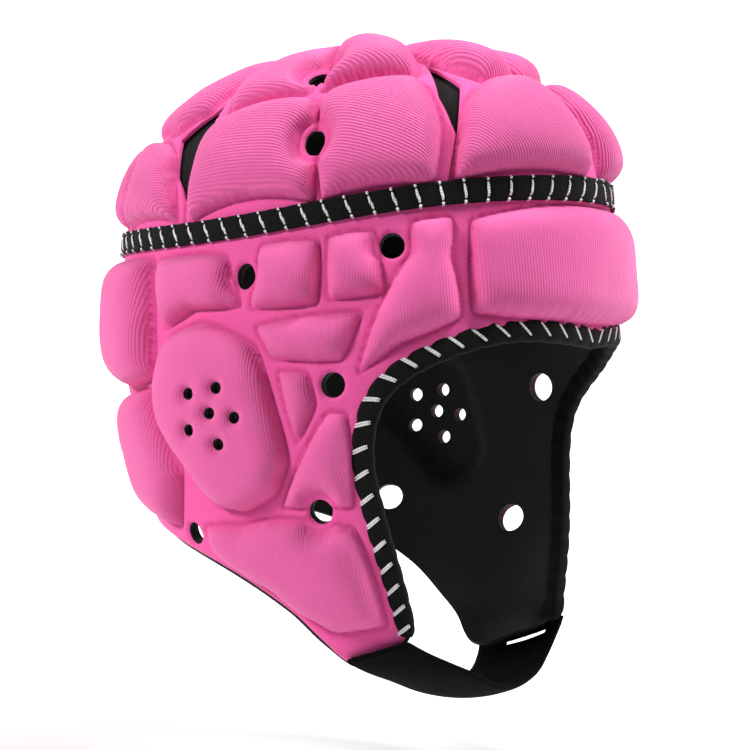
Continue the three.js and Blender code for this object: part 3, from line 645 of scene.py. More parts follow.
def fix_facing(made):
    """Turns the faces of a closed mesh outwards."""
    mesh = made.data
    mesh.calc_loop_triangles()
    count = len(mesh.loop_triangles)
    triangles = np.empty(count * 3, np.int32)
    mesh.loop_triangles.foreach_get("vertices", triangles)
    points = np.empty(len(mesh.vertices) * 3)
    mesh.vertices.foreach_get("co", points)
    a, b, c = (points.reshape(-1, 3)[triangles.reshape(-1, 3)[:, k]] for k in range(3))
    if (a * np.cross(b, c)).sum() < 0:
        mesh.flip_normals()


# Materials
PINK = {
    # the between ribs colour is painted shade, darkening the hollows between a pad's ribs
    "web": (0.78, 0.07, 0.31), "pad": (0.75, 0.103, 0.338), "between ribs": (0.50, 0.035, 0.18),
    # the crease colour is painted shade, laid along the pad creases where shadow falls
    "patch": (0.84, 0.17, 0.43), "crease": (0.52, 0.016, 0.17), "fuzz": (0.86, 0.24, 0.5),
}
THREAD_GREYS = (0.58,) * 3, (0.9,) * 3


def node(tree, kind, **inputs):
    made = tree.nodes.new(kind)
    for key, value in inputs.items():
        made.inputs[key.replace("_", " ")].default_value = value
    return made


def feed(tree, socket, value):
    """Sets a socket to a number or a colour, or links an output to it."""
    if isinstance(value, (int, float)):
        socket.default_value = value
    elif isinstance(value, tuple):
        socket.default_value = (*value, 1)
    else:
        tree.links.new(value, socket)


def math_node(tree, operation, *values):
    made = tree.nodes.new("ShaderNodeMath")
    made.operation = operation
    for socket, value in zip(made.inputs, values):
        feed(tree, socket, value)
    return made.outputs[0]


def attribute(tree, name):
    made = tree.nodes.new("ShaderNodeAttribute")
    made.attribute_name = name
    return made.outputs["Fac"]


def noise_texture(tree, scale, detail=2.0):
    place = tree.nodes.new("ShaderNodeTexCoord")
    made = node(tree, "ShaderNodeTexNoise", Scale=scale, Detail=detail)
    tree.links.new(place.outputs["Object"], made.inputs["Vector"])
    return made.outputs["Fac"]


def mixed(tree, share, first, second):
    made = tree.nodes.new("ShaderNodeMix")
    made.data_type = "RGBA"
    for place, value in ((0, share), (6, first), (7, second)):
        feed(tree, made.inputs[place], value)
    return made.outputs[2]


def bumped(tree, height, strength, distance, under=None):
    made = node(tree, "ShaderNodeBump", Strength=strength, Distance=distance)
    tree.links.new(height, made.inputs["Height"])
    if under is not None:
        tree.links.new(under, made.inputs["Normal"])
    return made.outputs["Normal"]


def new_material(name, settings):
    """Material of the standard shader, with some of its inputs set."""
    material = bpy.data.materials.new(name)
    material.use_nodes = True
    shader = material.node_tree.nodes["Principled BSDF"]
    for key, value in settings.items():
        shader.inputs[key].default_value = value
    return material, material.node_tree, shader


def cloth_material(name, roughness, sheen, sheen_tint, gloss=0.25):
    return new_material(name, {
        "Roughness": roughness, "Sheen Weight": sheen, "Sheen Roughness": 0.45,
        "Sheen Tint": (*sheen_tint, 1), "Specular IOR Level": gloss,
    })


def link_look(tree, shader, colour, normal):
    tree.links.new(colour, shader.inputs["Base Color"])
    tree.links.new(normal, shader.inputs["Normal"])


def rib_wave(tree):
    """0 between ribs and 1 on them."""
    turned = math_node(tree, "MULTIPLY", attribute(tree, "rib"), 2 * math.pi)
    return math_node(tree, "MULTIPLY_ADD", math_node(tree, "SINE", turned), 0.5, 0.5)


def pink_knit(name, rib_depth):
    """Pink knit with painted shade, darker between the ribs of a pad and along the pad creases, with paler
    patches and fuzz.
    """
    material, tree, shader = cloth_material(name, 0.8, 0.25, (1.0, 0.75, 0.88))
    wave = rib_wave(tree)
    pad = attribute(tree, "pad")
    colour = mixed(tree, pad, PINK["web"], PINK["pad"])
    # painted shade in the hollows between the ribs, on the pads only
    shade = math_node(tree, "MULTIPLY", math_node(tree, "SUBTRACT", 1.0, wave), pad)
    patches = noise_texture(tree, 60.0)
    fuzz = noise_texture(tree, 1900.0, 3.0)
    coats = [
        (shade, rib_depth, PINK["between ribs"]), (patches, 0.12, PINK["patch"]),
        # painted shade along the pad creases
        (attribute(tree, "crease"), 0.6, PINK["crease"]), (fuzz, 0.18, PINK["fuzz"]),
    ]
    for where, share, coat in coats:
        colour = mixed(tree, math_node(tree, "MULTIPLY", where, share), colour, coat)
    height = math_node(tree, "MULTIPLY", wave, pad)
    normal = bumped(tree, fuzz, 0.3, 0.0004)
    normal = bumped(tree, height, min(1.0, 1.8 * rib_depth), 0.0005, normal)
    link_look(tree, shader, colour, normal)
    return material


def black_knit(name, shine, rib_depth, light, gloss):
    material, tree, shader = cloth_material(name, 0.85, shine, (0.8, 0.8, 0.85), gloss)
    wave = rib_wave(tree)
    fuzz = noise_texture(tree, 1800.0, 3.0)
    colour = mixed(tree, fuzz, (0.3 * light,) * 3, (light,) * 3)
    normal = bumped(tree, fuzz, 0.4, 0.0005)
    link_look(tree, shader, colour, bumped(tree, wave, rib_depth, 0.0005, normal))
    return material


def thread_material():
    material, tree, shader = cloth_material("white_thread", 0.5, 0.2, (1.0, 1.0, 1.0))
    wave = rib_wave(tree)
    link_look(tree, shader, mixed(tree, wave, *THREAD_GREYS), bumped(tree, wave, 0.5, 0.0003))
    return material


LOWER_PINK = pink_knit("pink_fine_knit", 0.18)
CROWN_PINK = pink_knit("pink_broad_knit", 0.34)
LINING = black_knit("black_lining_knit", shine=0.15, rib_depth=0.3, light=0.024, gloss=0.25)
# darker, less shiny copy of the black lining: painted shade for the crown lining, seen in the dark through
# the dart windows
SHADED_CROWN_LINING = black_knit("shaded_black_crown_lining_knit", shine=0.05, rib_depth=0.3, light=0.008, gloss=0.12)
ELASTIC = black_knit("black_elastic_weave", shine=0.02, rib_depth=0.35, light=0.006, gloss=0.15)
WEBBING = black_knit("black_webbing_weave", shine=0.0, rib_depth=0.6, light=0.003, gloss=0.05)
THREAD = thread_material()


def lower_ribs(flat, points):
    below = np.logaddexp(0, (RIB_LEAN_BELOW - flat[:, 1]) / RIB_LEAN_SOFT) * RIB_LEAN_SOFT
    return (flat[:, 0] + RIB_LEAN * below) / RIB_PITCH["lower"]


def crown_ribs(flat, points):
    return np.arctan2(points[:, 0], points[:, 2]) * CROWN_RIB_RADIUS / RIB_PITCH["crown"]


# The lower panel and its lining
def face_line(step):
    """Line of the binding round the face opening, from the left flap to the right one."""
    halves = []
    for name, side in (("left", -1), ("right", 1)):
        half = lower_flat(catmull([*FACE_EDGE[name], *LOWER_EDGE[name][1:3]]), side)
        halves.append(half[half[:, 1] > BINDING_END_HEIGHT[name]])
    return resampled(np.concatenate([halves[0][::-1][:-1], halves[1]]), step)


def lower_loop(drop):
    """Outline of the lower panel, with its lower edge dropped for the lining."""
    halves = []
    for name, side in (("right", 1), ("left", -1)):
        lower = lower_flat(catmull(LOWER_EDGE[name]), side)[1:]
        lower[:, 1] -= drop
        halves.append(np.concatenate([lower_flat(catmull(FACE_EDGE[name]), side), lower]))
    degrees = np.linspace(BACK_SEAM_DEGREES, -BACK_SEAM_DEGREES, 361)
    top = lower_flat(np.stack([degrees, band_height(degrees) - SEAM_DROP], 1))
    return closed_ring(np.concatenate([halves[0], top, halves[1][:0:-1]]), EDGE_STEP)


def lower_vents():
    for right, left, half_width, half_height in LOWER_VENTS:
        for side, place in zip(BOTH, (right, left)):
            wider, taller = (LEFT_VENT_WIDER, LEFT_VENT_TALLER) if side < 0 else (0, 0)
            yield lower_flat([place], side)[0], half_width + wider, half_height + taller


def crown_vents():
    for place, half_width, half_height in CROWN_VENTS:
        for side in BOTH:
            yield crown_flat([place], side)[0], half_width, half_height


def vent_holes(surface, vents):
    """Rings of the vents, and rings of the flat web round them."""
    holes, webs = [], []
    for center, half_width, half_height in vents:
        holes.append(oval(surface, center, half_width, half_height, VENT_SIDES))
        webs.append(oval(surface, center, half_width + VENT_RING, half_height + VENT_RING, VENT_RING_SIDES))
    return holes, webs


def pad_ring(panel, corners, side):
    flat = lower_flat(corners, side) if panel == "lower" else crown_flat(corners, side)
    return closed_ring(rounded(grown(flat, PAD_GROWTH[panel]), PAD_CORNER, PAD_BOW), EDGE_STEP)


def both_pads(panel, rows):
    """Rise and ring of each pad in the rows, on both sides."""
    return [(rise, pad_ring(panel, corners, side)) for _, rise, corners in rows for side in BOTH]


EAR_HOLE_LIST = [
    (lower_flat([(degrees - EAR_HOLES_FORWARD[side], height)], side)[0], EAR_HOLE_RADIUS[side])
    for side in BOTH for degrees, height in EAR_HOLES
]
EAR_HOLE_RINGS = [oval(lower_surface, place, size, size, EAR_HOLE_SIDES) for place, size in EAR_HOLE_LIST]
LOWER_HOLES, LOWER_RINGS = vent_holes(lower_surface, lower_vents())
CROWN_HOLES, CROWN_RINGS = vent_holes(crown_surface, crown_vents())
EAR_RINGS = [pad_ring("lower", EAR_CORNERS, side) for side in BOTH]
LOWER_PAD_RINGS = [(BROW_RISE, pad_ring("lower", BROW_CORNERS, 1))]
LOWER_PAD_RINGS += [(EAR_RISE, ring) for ring in EAR_RINGS]
LOWER_PAD_RINGS += both_pads("lower", LOWER_PADS)
CROWN_PAD_RINGS = both_pads("crown", CROWN_PADS)


def ring_distance(surface, ring, points):
    return nearest(surface(closed_ring(ring, RING_STEP)), points)


def ring_depth(surface, ring, flat, base):
    """How far from a ring the points inside it are, and which points these are."""
    low, high = ring.min(0), ring.max(0)
    near = np.flatnonzero(((flat > low) & (flat < high)).all(1))
    near = near[inside(ring, flat[near])]
    return near, ring_distance(surface, ring, base[near])


def pad_lift(surface, swell, pads, vent_rings, flat, base, triangles):
    """Rise of the pads over the web at each point, and 0 to 1 for how much of a pad it is."""
    full = np.zeros(len(flat))
    depth = np.zeros(len(flat))
    clear = np.full(len(flat), 1e3)
    for ring in vent_rings:
        middle = surface(ring.mean(0)[None])
        close = np.flatnonzero(np.linalg.norm(base - middle, axis=1) < VENT_REACH)
        away = ring_distance(surface, ring, base[close])
        away[inside(ring, flat[close])] = 0
        clear[close] = np.minimum(clear[close], away)
    for height, ring in pads:
        near, into = ring_depth(surface, ring, flat, base)
        into = np.minimum(into, clear[near])
        full[near] = np.where(into > 0.05, height, 0)
        depth[near] = into
    rise = full * (1 - np.exp(-depth / swell))
    pull = (FINE / swell) ** 2 / 4
    around = averager(triangles, len(flat))
    free = full > 0
    for _ in range(PAD_ROUNDS):
        rise = np.where(free, (around(rise) + pull * full) / (1 + pull), 0)
    return rise, np.clip(depth / PAD_FLANK, 0, 1) * free


def soft_wander(base, size, amount):
    """Small unevenness of soft goods."""
    return np.array([noise.noise(Vector(p)) for p in (base / size).tolist()]) * amount


def rim_roll(loops, flat):
    """How much the outer face drops at a cut edge."""
    edge = nearest(np.concatenate([closed_ring(loop, RING_STEP) for loop in loops]), flat)
    near = np.minimum(1, edge / EDGE_ROLL)
    return EDGE_ROLL * ROLL_SHARE * (1 - np.sqrt(np.maximum(0, 1 - (1 - near) ** 2)))


def face_distance(base):
    return nearest(lower_surface(face_line(FACE_STEP)), base)


def face_pinch(base):
    """1 at the cut edge of the face opening, where the binding presses the layers, and 0 away from it."""
    return eased(1 - face_distance(base) / PINCH_REACH)


def brow_puckers(flat, base):
    """Little gathers between the brow pad and the binding."""
    near = bell(face_distance(base) - PUCKER["away"], PUCKER["wide"])
    near *= np.abs(flat[:, 0] / MM_PER_DEGREE) < PUCKER["end_degrees"]
    folds = np.sin(base[:, 0] * 1.5 + base[:, 1] * 0.5 + np.sin(base[:, 0] * 0.4))
    return PUCKER["depth"] * near * folds


def panel_lift(surface, pads, vent_rings, holes, loops):
    """Function that lifts a panel's outer face and marks its pads and creases."""

    def lift(flat, base, triangles):
        swell = PAD_SWELL["crown" if surface is crown_surface else "lower"]
        rise, share = pad_lift(surface, swell, pads, vent_rings, flat, base, triangles)
        creases = [surface(closed_ring(ring, CREASE_STEP)) for _, ring in pads]
        # crease is 1 on the pad rings: it dips the surface there and also sets the painted shade of the pink
        # along the creases
        crease = bell(nearest(np.concatenate(creases), base), CREASE_WIDTH)
        rise -= PAD_CREASE * crease
        for center, radius in holes:
            away = np.linalg.norm(base - surface(center[None]), axis=1) - radius
            rise -= EAR_HOLE_DIMPLE * bell(np.maximum(0, away), DIMPLE_WIDTH)
        rise += soft_wander(base, *PAD_WANDER) * np.clip(rise / WANDER_FULL_RISE, 0, 1)
        rise += soft_wander(base, *WEB_WANDER)
        if surface is lower_surface:
            rise += brow_puckers(flat, base) - PINCH["panel outside"] * face_pinch(base)
        marks = {"pad": smoothed(share, triangles, 1), "crease": crease}
        return WEB_OUTSIDE + rise - rim_roll(loops, flat), marks

    return lift


def ear_cup(flat, base):
    """Depth of the hollow for the ear behind each ear pad."""
    depth = np.zeros(len(flat))
    for ring in EAR_RINGS:
        near, into = ring_depth(lower_surface, ring, flat, base)
        depth[near] = EAR_CUP_DEPTH * eased((into - EAR_CUP_INSET) / EAR_CUP_SLOPE)
    return depth


def below_face(loop):
    """Which points of the lower panel's outline lie on its lower edge or on the left flap."""
    degrees = loop[:, 0] / MM_PER_DEGREE
    return (loop[:, 1] < -30) & ((degrees > 58) | (degrees < 0))


def make_lower():
    """Makes the lower panel and its lining, and returns the lining."""
    loops = [lower_loop(0), *LOWER_HOLES, *EAR_HOLE_RINGS]
    lift = panel_lift(lower_surface, LOWER_PAD_RINGS, LOWER_RINGS, EAR_HOLE_LIST, loops)

    def panel_inside(flat, base, triangles):
        return WEB_INSIDE + ear_cup(flat, base) - PINCH["panel inside"] * face_pinch(base)

    panel = shell(
        "lower_panel_padded", lower_surface, loops, FINE, COARSE / 2, lift, panel_inside,
        [LOWER_PINK, LINING], lower_ribs, [ring for _, ring in LOWER_PAD_RINGS] + LOWER_RINGS, below_face,
    )
    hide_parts("lower_panel")

    loops = [lower_loop(LINING_SHOWS), *LOWER_HOLES, *EAR_HOLE_RINGS]

    def lining_outside(flat, base, triangles):
        return LINING_THICK + ear_cup(flat, base) + PINCH["lining outside"] * face_pinch(base), {}

    def lining_inside(flat, base, triangles):
        puff = soft_wander(base, *LINING_WANDER) - LINING_SLACK
        return smoothed(ear_cup(flat, base), triangles, 2) + puff + PINCH["lining inside"] * face_pinch(base)

    step = LINING_STEP["lower"]
    lining = shell(
        "lower_lining_cloth", lower_surface, loops, step, step, lining_outside, lining_inside, [LINING],
        lower_ribs,
    )
    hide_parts("lower_lining")
    return lining


# The crown and its lining
def crown_loop():
    cuts = []
    for window, foot, seam in DARTS:
        for side in BOTH:
            corners = crown_flat(window, side)
            foot_at = crown_flat([foot], side)[0]
            mouth = crown_flat([(seam, CROWN_EDGE_SHARE)], side)[0]
            aside = np.array([mouth[1], -mouth[0]]) / np.linalg.norm(mouth) * DART_SLIT / 2
            flank = corners[[3, 0, 1, 2] if side > 0 else [2, 1, 0, 3]]
            points = [mouth - aside, foot_at - aside, *flank, foot_at + aside, mouth + aside]
            cuts.append((side * seam, points))
    ring = []
    for at in np.arange(-180, 180) + 0.5:
        if all(abs(at - seam) > DART_CLEAR_DEGREES for seam, _ in cuts):
            ring.append(crown_flat([(at, CROWN_EDGE_SHARE)])[0])
        for seam, points in cuts:
            if at <= seam < at + 1:
                ring += points
    return closed_ring(ring, EDGE_STEP)


def crown_rim():
    return closed_ring(crown_flat([(at, CROWN_EDGE_SHARE) for at in range(-180, 180)]), EDGE_STEP)


def make_crown():
    """Makes the crown panel and its lining, and returns the lining."""
    loops = [crown_loop(), *CROWN_HOLES, closed_ring(crown_flat(BACK_WINDOW), EDGE_STEP)]
    lift = panel_lift(crown_surface, CROWN_PAD_RINGS, CROWN_RINGS, [], loops)
    panel = shell(
        "crown_panel_padded", crown_surface, loops, FINE, COARSE, lift,
        lambda flat, base, triangles: np.full(len(flat), WEB_INSIDE),
        [CROWN_PINK, LINING], crown_ribs, [ring for _, ring in CROWN_PAD_RINGS] + CROWN_RINGS,
    )
    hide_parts("crown_panel")
    step = LINING_STEP["crown"]
    lining = shell(
        "crown_lining_cloth", crown_surface, [crown_rim(), *CROWN_HOLES], step, step,
        lambda flat, base, triangles: (np.full(len(flat), LINING_THICK), {}),
        lambda flat, base, triangles: np.zeros(len(flat)), [SHADED_CROWN_LINING], crown_ribs,
    )
    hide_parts("crown_lining")
    return lining


# The elastic band over the seam
def band_points(degrees, up, lift):
    degrees, up, lift = np.broadcast_arrays(np.asarray(degrees, float), up, lift)
    found = np.empty((len(degrees), 3))
    low = up <= 0
    flat = lower_flat(np.stack([degrees, band_height(degrees) + up], 1))
    found[low] = lifted(lower_surface, flat[low], lift[low])
    climb = np.maximum(up, 0) / (CROWN_HEIGHT - band_height(degrees))
    share = np.arccos(np.clip(climb, 0, 1) ** (DOME_POWER / 2)) / (math.pi / 2)
    flat = crown_flat(np.stack([degrees, share], 1))
    found[~low] = lifted(crown_surface, flat[~low], lift[~low])
    return found


# Section of the band: share of its half width, share of its thickness
BAND_FLANK = [(1, 0.35), (0.97, 0.75), (0.88, 0.98), (0.66, 0.8), (0.45, 1.02)]
BAND_SECTION = [(-0.92, 0), (0, 0), (0.92, 0), *BAND_FLANK, (0, 1.1)]
BAND_SECTION += [(-across, thick) for across, thick in BAND_FLANK[::-1]]

# Runs of one stitch of the band that show, as shares of the half width
BAND_STITCH_PARTS = [(1.05, 0.78), (0.66, -0.62), (-0.74, -1.04)]
BAND_STITCH_POINTS = 9
BAND_STITCH_TOP = 0.92
BAND_STITCH_FLOAT = 0.22

# Lean of a stitch in degrees at the band's edge, at the sides and in front, and its kink in front
SIDE_LEAN = 1.6
FRONT_LEAN = -0.7
FRONT_KINK = 1.3
KINK_BELOW = 0.35
FRONT_DEGREES = 44

# Width of a stitch's pull on the band, and how far it pulls it flat and in
PULL_DEGREES = 1.1
PULL_FLAT = 0.22
PULL_IN = 0.03


def stitch_degrees():
    """Places of the band's stitches, a stitch apart along it."""
    degrees = np.linspace(-180, 180, 1441)
    length = run_length(band_points(degrees, 0.0, WEB_OUTSIDE))
    count = int(round(length[-1] / BAND_STITCH))
    return np.interp((np.arange(count) + STITCH_PHASE) * length[-1] / count, length, degrees)


def stitch_pull(along, places, width):
    """1 at the stitches of a tape, and 0 between them."""
    return np.max([bell(along - place, width) for place in places], 0)


def thread_tube(path, out, wide, high, sides=8):
    """Rings of a flattened thread along a path, tapered at its ends."""
    side = unit(np.cross(unit(np.gradient(path, axis=0)), out))
    angle = 2 * math.pi * np.arange(sides) / sides
    taper = np.sin(np.linspace(0.25, math.pi - 0.25, len(path))) ** 0.35
    offsets = np.cos(angle)[None, :, None] * side[:, None] * (wide * taper)[:, None, None]
    offsets = offsets + np.sin(angle)[None, :, None] * out[:, None] * (high * taper)[:, None, None]
    return path[:, None] + offsets


def make_band():
    inside_lift = WEB_OUTSIDE + TAPE_GAP
    half = BAND_WIDTH / 2
    places = stitch_degrees()
    degrees = np.linspace(-180, 180, 1081)[:-1]
    pull = stitch_pull(degrees, places, PULL_DEGREES)
    rings = []
    for across, thick in BAND_SECTION:
        lift = inside_lift + TAPE_THICK * thick * (1 - PULL_FLAT * pull * (thick > 0.5))
        rings.append(band_points(degrees, across * half * (1 - PULL_IN * pull), lift))
    ribs = degrees * MM_PER_DEGREE / RIB_PITCH["tape"]
    band = swept("crown_band_elastic", [(np.stack(rings, 1), ribs)], ELASTIC, closed=True)
    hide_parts("crown_band")

    tubes = []
    top = inside_lift + TAPE_THICK * BAND_STITCH_TOP
    for place in places:
        front = bell(place, FRONT_DEGREES)
        hand = 1 if place >= 0 else -1
        for high, low in BAND_STITCH_PARTS:
            up = np.linspace(high, low, BAND_STITCH_POINTS)
            lean = (SIDE_LEAN * (1 - front) + FRONT_LEAN * front) * up
            kink = front * FRONT_KINK * np.maximum(0, -up - KINK_BELOW)
            at = place + hand * (lean + kink)
            dive = 0.5 * np.abs(np.linspace(-1, 1, BAND_STITCH_POINTS)) ** 6
            over_edge = 1.1 * np.maximum(0, np.abs(up) - 0.92) / 0.14
            path = band_points(at, up * half, top + BAND_STITCH_FLOAT - dive - over_edge)
            out = unit(band_points(at, up * half, top + 1) - band_points(at, up * half, top))
            tubes.append((thread_tube(path, out, THREAD_WIDE, THREAD_HIGH), up * half / RIB_PITCH["tape"]))
    swept("crown_band_stitches", tubes, THREAD)


# The binding of the face opening
# Section: inset from the cut edge, which face it is lifted from, lift
BINDING_SECTION = [
    (5.5, "out", 0.15), (5.45, "out", 0.7), (5.0, "out", 1.1), (3.8, "out", 1.3), (2, "out", 1.4),
    (0.6, "out", 1.3), (-0.5, "out", 0.9), (-1.3, "out", 0.1), (-1.6, "out", -1.0), (-1.6, "in", 0.7),
    (-1.3, "in", -0.3), (-0.5, "in", -0.9), (0.6, "in", -1.2), (2, "in", -1.25), (3.8, "in", -1.2),
    (5.0, "in", -1.05), (5.45, "in", -0.6), (5.5, "in", -0.15), (5.1, "in", 0), (-0.5, "in", 0),
    (-0.5, "out", 0), (5.1, "out", 0),
]
BINDING_LIFT = {"out": WEB_OUTSIDE - 1.05, "in": 0.0}
BINDING_ROUND = 4.0
BINDING_PULL = 1.7
BINDING_SMOOTHING = 11

# Stitches of the binding: two strands each, thinner and more slanted at the brow
STITCH_INSET = (5.7, -0.4)
STITCH_POINTS = 13
STITCH_FLOAT = 1.12
STITCH_SLANT = 2.6
BROW_SLANT = 2.6
BROW_REACH = 75
STRAND_APART = 0.42
STRAND_WIDE = 0.42
STRAND_HIGH = 0.3


def make_binding():
    line = face_line(FACE_STEP)
    into = np.gradient(line, axis=0)
    into = np.stack([-into[:, 1], into[:, 0]], 1)
    evener = np.ones(BINDING_SMOOTHING) / BINDING_SMOOTHING
    for k in range(2):
        into[:, k] = np.convolve(np.pad(into[:, k], BINDING_SMOOTHING // 2, "edge"), evener, "valid")
    into = unit(into)
    along = run_length(lifted(lower_surface, line, 0.0))
    stitches = np.arange(along[-1] - LAST_STITCH, LAST_STITCH, -BINDING_STITCH)
    pull = stitch_pull(along, stitches, BINDING_PULL)
    to_end = np.clip(np.minimum(along, along[-1] - along) / BINDING_ROUND, 0.02, 1)
    narrow = 0.25 + 0.75 * np.sqrt(1 - (1 - to_end) ** 2)
    rings = []
    for inset, side, lift in BINDING_SECTION:
        scallop = 0.5 * (1 - pull) * (inset > 4.9) + 0.35 * (1 - pull) * (inset < -0.4)
        raised = lift * (1 - 0.3 * pull)
        at = line + into * ((inset + scallop * np.sign(inset)) * narrow)[:, None]
        rings.append(lifted(lower_surface, at, BINDING_LIFT[side] + raised))
    binding = swept("face_binding_tape", [(np.stack(rings, 1), along / RIB_PITCH["tape"])], ELASTIC)
    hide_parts("face_binding")

    tubes = []
    inset = np.linspace(*STITCH_INSET, STITCH_POINTS)
    t = np.linspace(-1, 1, STITCH_POINTS)
    for place in stitches:
        from_centre = place - along[-1] / 2
        brow = math.exp(-((from_centre / BROW_REACH) ** 4))
        slant = (STITCH_SLANT + BROW_SLANT * brow) * (1 if from_centre < 0 else -1)
        apart = STRAND_APART * (1 - 0.5 * brow)
        wide = STRAND_WIDE * (1 - 0.35 * brow)
        for strand in (-apart, apart):
            at = np.clip(place + slant * t / 2 + strand, 0, along[-1])
            here = columns_at(at, along, line) + columns_at(at, along, into) * inset[:, None]
            dive = 0.8 * np.maximum(0, np.abs(t) - 0.88) / 0.12
            curl = 0.55 * np.maximum(0, 0.9 - inset) ** 1.5
            path = lifted(lower_surface, here, BINDING_LIFT["out"] + STITCH_FLOAT - dive - curl)
            out = unit(lifted(lower_surface, here, 1.0) - lifted(lower_surface, here, 0.0))
            tubes.append((thread_tube(path, out, wide, STRAND_HIGH), inset / RIB_PITCH["tape"]))
    swept("face_binding_stitches", tubes, THREAD)


# The chin strap
def make_strap():
    rails = {}
    for name in ("rear", "front"):
        ends = [
            lifted(lower_surface, lower_flat([end[name]]), WEB_OUTSIDE + STRAP_GAP)[0]
            for end in (STRAP_RIGHT_END, STRAP_LEFT_END)
        ]
        rails[name] = resampled(centripetal([ends[0], *STRAP_FREE[name], ends[1]]), 1, RAIL_STEPS)
    length = np.mean([run_length(rail)[-1] for rail in rails.values()])
    width = np.linalg.norm(rails["front"][RAIL_STEPS // 2] - rails["rear"][RAIL_STEPS // 2])

    def strap_surface(flat):
        along = np.linspace(0, length, RAIL_STEPS + 1)
        rear, front = (columns_at(flat[:, 0], along, rails[name]) for name in ("rear", "front"))
        across = flat[:, 1] / width
        points = rear + (front - rear) * across[:, None]
        outward = unit(points - THROAT)
        return points + outward * (4 * STRAP_BULGE * across * (1 - across))[:, None]

    along = np.linspace(STRAP_END_CUT, length - STRAP_END_CUT, STRAP_EDGE_POINTS)
    belly = STRAP_BELLY * np.sin(np.linspace(0, math.pi, STRAP_EDGE_POINTS))
    turn = np.linspace(0, math.pi, STRAP_END_POINTS + 2)[1:-1]
    cut = STRAP_END_CUT * (1 - np.sin(turn))
    across = width / 2 + width / 2 * np.cos(turn)
    right_end = np.stack([cut + STRAP_SCALLOP * np.sin(turn * STRAP_SCALLOPS) + STRAP_SCALLOP, across], 1)
    left_end = np.stack([length - cut, across[::-1]], 1)
    rear_edge = np.stack([along, -belly], 1)
    front_edge = np.stack([along, width + belly], 1)[::-1]
    outline = closed_ring(np.concatenate([rear_edge, left_end, front_edge, right_end]), EDGE_STEP)
    reach = STRAP_SLIT["length"] * width / 2
    half = STRAP_SLIT["width"] / 2
    middle = np.array([STRAP_SLIT["along"] * length, STRAP_SLIT["across"] * width])
    waist = half * STRAP_SLIT["waist"]
    slit = [(-half, -reach), (half, -reach), (waist, 0), (half, reach), (-half, reach), (-waist, 0)]
    slit = [(x + STRAP_SLIT["askew"] * y, y) for x, y in slit]
    loops = [outline, closed_ring(middle + np.array(slit), EDGE_STEP)]

    def outside(flat, base, triangles):
        return STRAP_THICK - 0.8 * rim_roll(loops, flat), {}

    strap = shell(
        "chin_strap_webbing", strap_surface, loops, FINE, FINE, outside,
        lambda flat, base, triangles: 0.6 * rim_roll(loops, flat), [WEBBING],
        lambda flat, points: flat[:, 1] / RIB_PITCH["webbing"],
    )
    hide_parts("chin_strap")


lower_lining = make_lower()
crown_lining = make_crown()
make_band()
make_binding()
make_strap()


# The camera, the floor and the light
CAMERA_AZIMUTH = -59.0
CAMERA_ELEVATION = -0.61
CAMERA_DISTANCE = 0.9
CAMERA_TARGET = Vector((0, -0.006, -0.1204))
CAMERA_LENS = 108.0
FLOOR = -0.275
FLOOR_HALF_WIDTH = 5

# Ramps of the floor along the view: from, to, value before, value after. The base colour is darker in front;
# the emission is painted light, a glow of floor and backdrop, faint in front and near white behind, that
# also lights the part
FLOOR_RAMPS = {"Base Color": (-0.5, 0.0, 0.3, 0.66), "Emission Strength": (-0.3, 0.7, 0.1, 0.95)}

# Lights: name, azimuth, elevation, distance, size, power
LIGHTS = [
    ("left", -124, 31, 1.6, 0.35, 20.5),
    ("right", 21, 38, 1.8, 0.4, 16),
    ("top", 8, 68, 1.5, 0.45, 20),
]
WORLD_LIGHT = 0.12


def aimed(name, data, azimuth, elevation, distance):
    """New object that looks at the camera's target from a distance."""
    made = placed(name, data)
    a, e = math.radians(azimuth), math.radians(elevation)
    back = Vector((math.sin(a) * math.cos(e), -math.cos(a) * math.cos(e), math.sin(e)))
    made.location = CAMERA_TARGET + distance * back
    made.rotation_euler = back.to_track_quat("Z", "Y").to_euler()
    return made


def make_camera():
    data = bpy.data.cameras.new("camera")
    data.lens = CAMERA_LENS
    data.sensor_width = 36
    data.clip_start = 0.01
    bpy.context.scene.camera = aimed("camera", data, CAMERA_AZIMUTH, CAMERA_ELEVATION, CAMERA_DISTANCE)


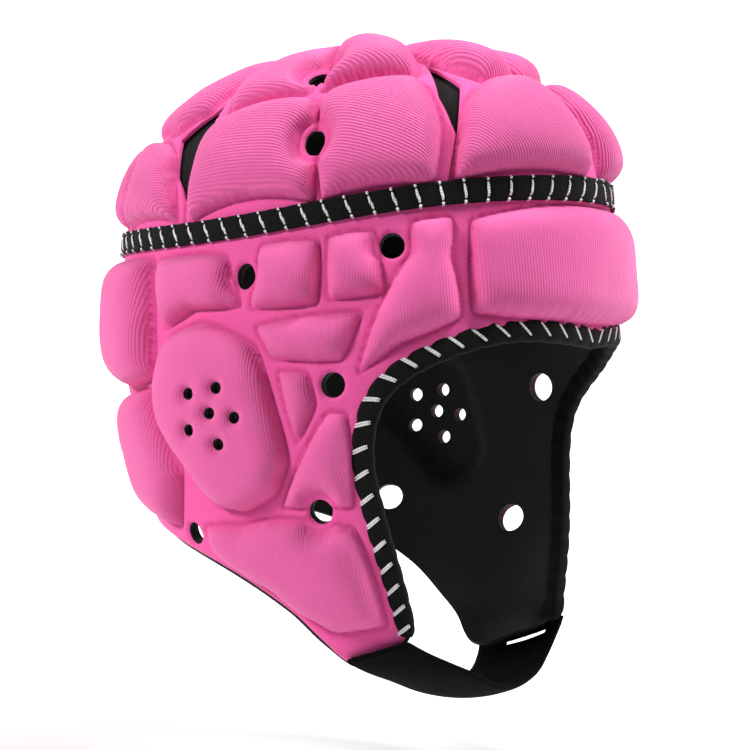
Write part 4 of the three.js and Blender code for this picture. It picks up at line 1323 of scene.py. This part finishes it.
def area_light(name, azimuth, elevation, distance, size, power):
    data = bpy.data.lights.new(name, "AREA")
    data.shape = "DISK"
    data.size = size
    data.energy = power
    aimed(name, data, azimuth, elevation, distance)


def make_floor():
    """Pale floor that curves up into a backdrop behind the part, made bright by a painted glow of emission,
    faint in front and near white behind.
    """
    settings = {"Roughness": 1.0, "Specular IOR Level": 0.0, "Emission Color": (1, 1, 1, 1)}
    material, tree, shader = new_material("pale_floor", settings)
    place = tree.nodes.new("ShaderNodeTexCoord")
    parts = tree.nodes.new("ShaderNodeSeparateXYZ")
    tree.links.new(place.outputs["Object"], parts.inputs[0])
    for name, ramp in FLOOR_RAMPS.items():
        shade = tree.nodes.new("ShaderNodeMapRange")
        shade.interpolation_type = "SMOOTHSTEP"
        for socket, value in zip(("From Min", "From Max", "To Min", "To Max"), ramp):
            shade.inputs[socket].default_value = value
        tree.links.new(parts.outputs["Y"], shade.inputs["Value"])
        tree.links.new(shade.outputs[0], shader.inputs[name])
    turn = [math.radians(10 * k) for k in range(10)]
    profile = [(-4.0, 0.0), (0.0, 0.0), (0.6, 0.0)]
    profile += [(1.2 + math.sin(t), 1 - math.cos(t)) for t in turn] + [(2.2, 6.0)]
    points = [(side * FLOOR_HALF_WIDTH, reach, climb) for reach, climb in profile for side in BOTH]
    faces = [(2 * k, 2 * k + 2, 2 * k + 3, 2 * k + 1) for k in range(len(profile) - 1)]
    mesh = bpy.data.meshes.new("floor")
    mesh.from_pydata(points, [], faces, shade_flat=False)
    mesh.materials.append(material)
    floor = placed("floor", mesh)
    floor.location.z = FLOOR
    floor.rotation_euler.z = math.radians(CAMERA_AZIMUTH)


def make_world():
    world = bpy.data.worlds.new("studio")
    bpy.context.scene.world = world
    world.use_nodes = True
    background = world.node_tree.nodes["Background"]
    background.inputs["Color"].default_value = (1, 1, 1, 1)
    background.inputs["Strength"].default_value = WORLD_LIGHT


make_camera()
make_floor()
make_world()
for light in LIGHTS:
    area_light(*light)
bpy.context.scene.view_settings.view_transform = "Standard"
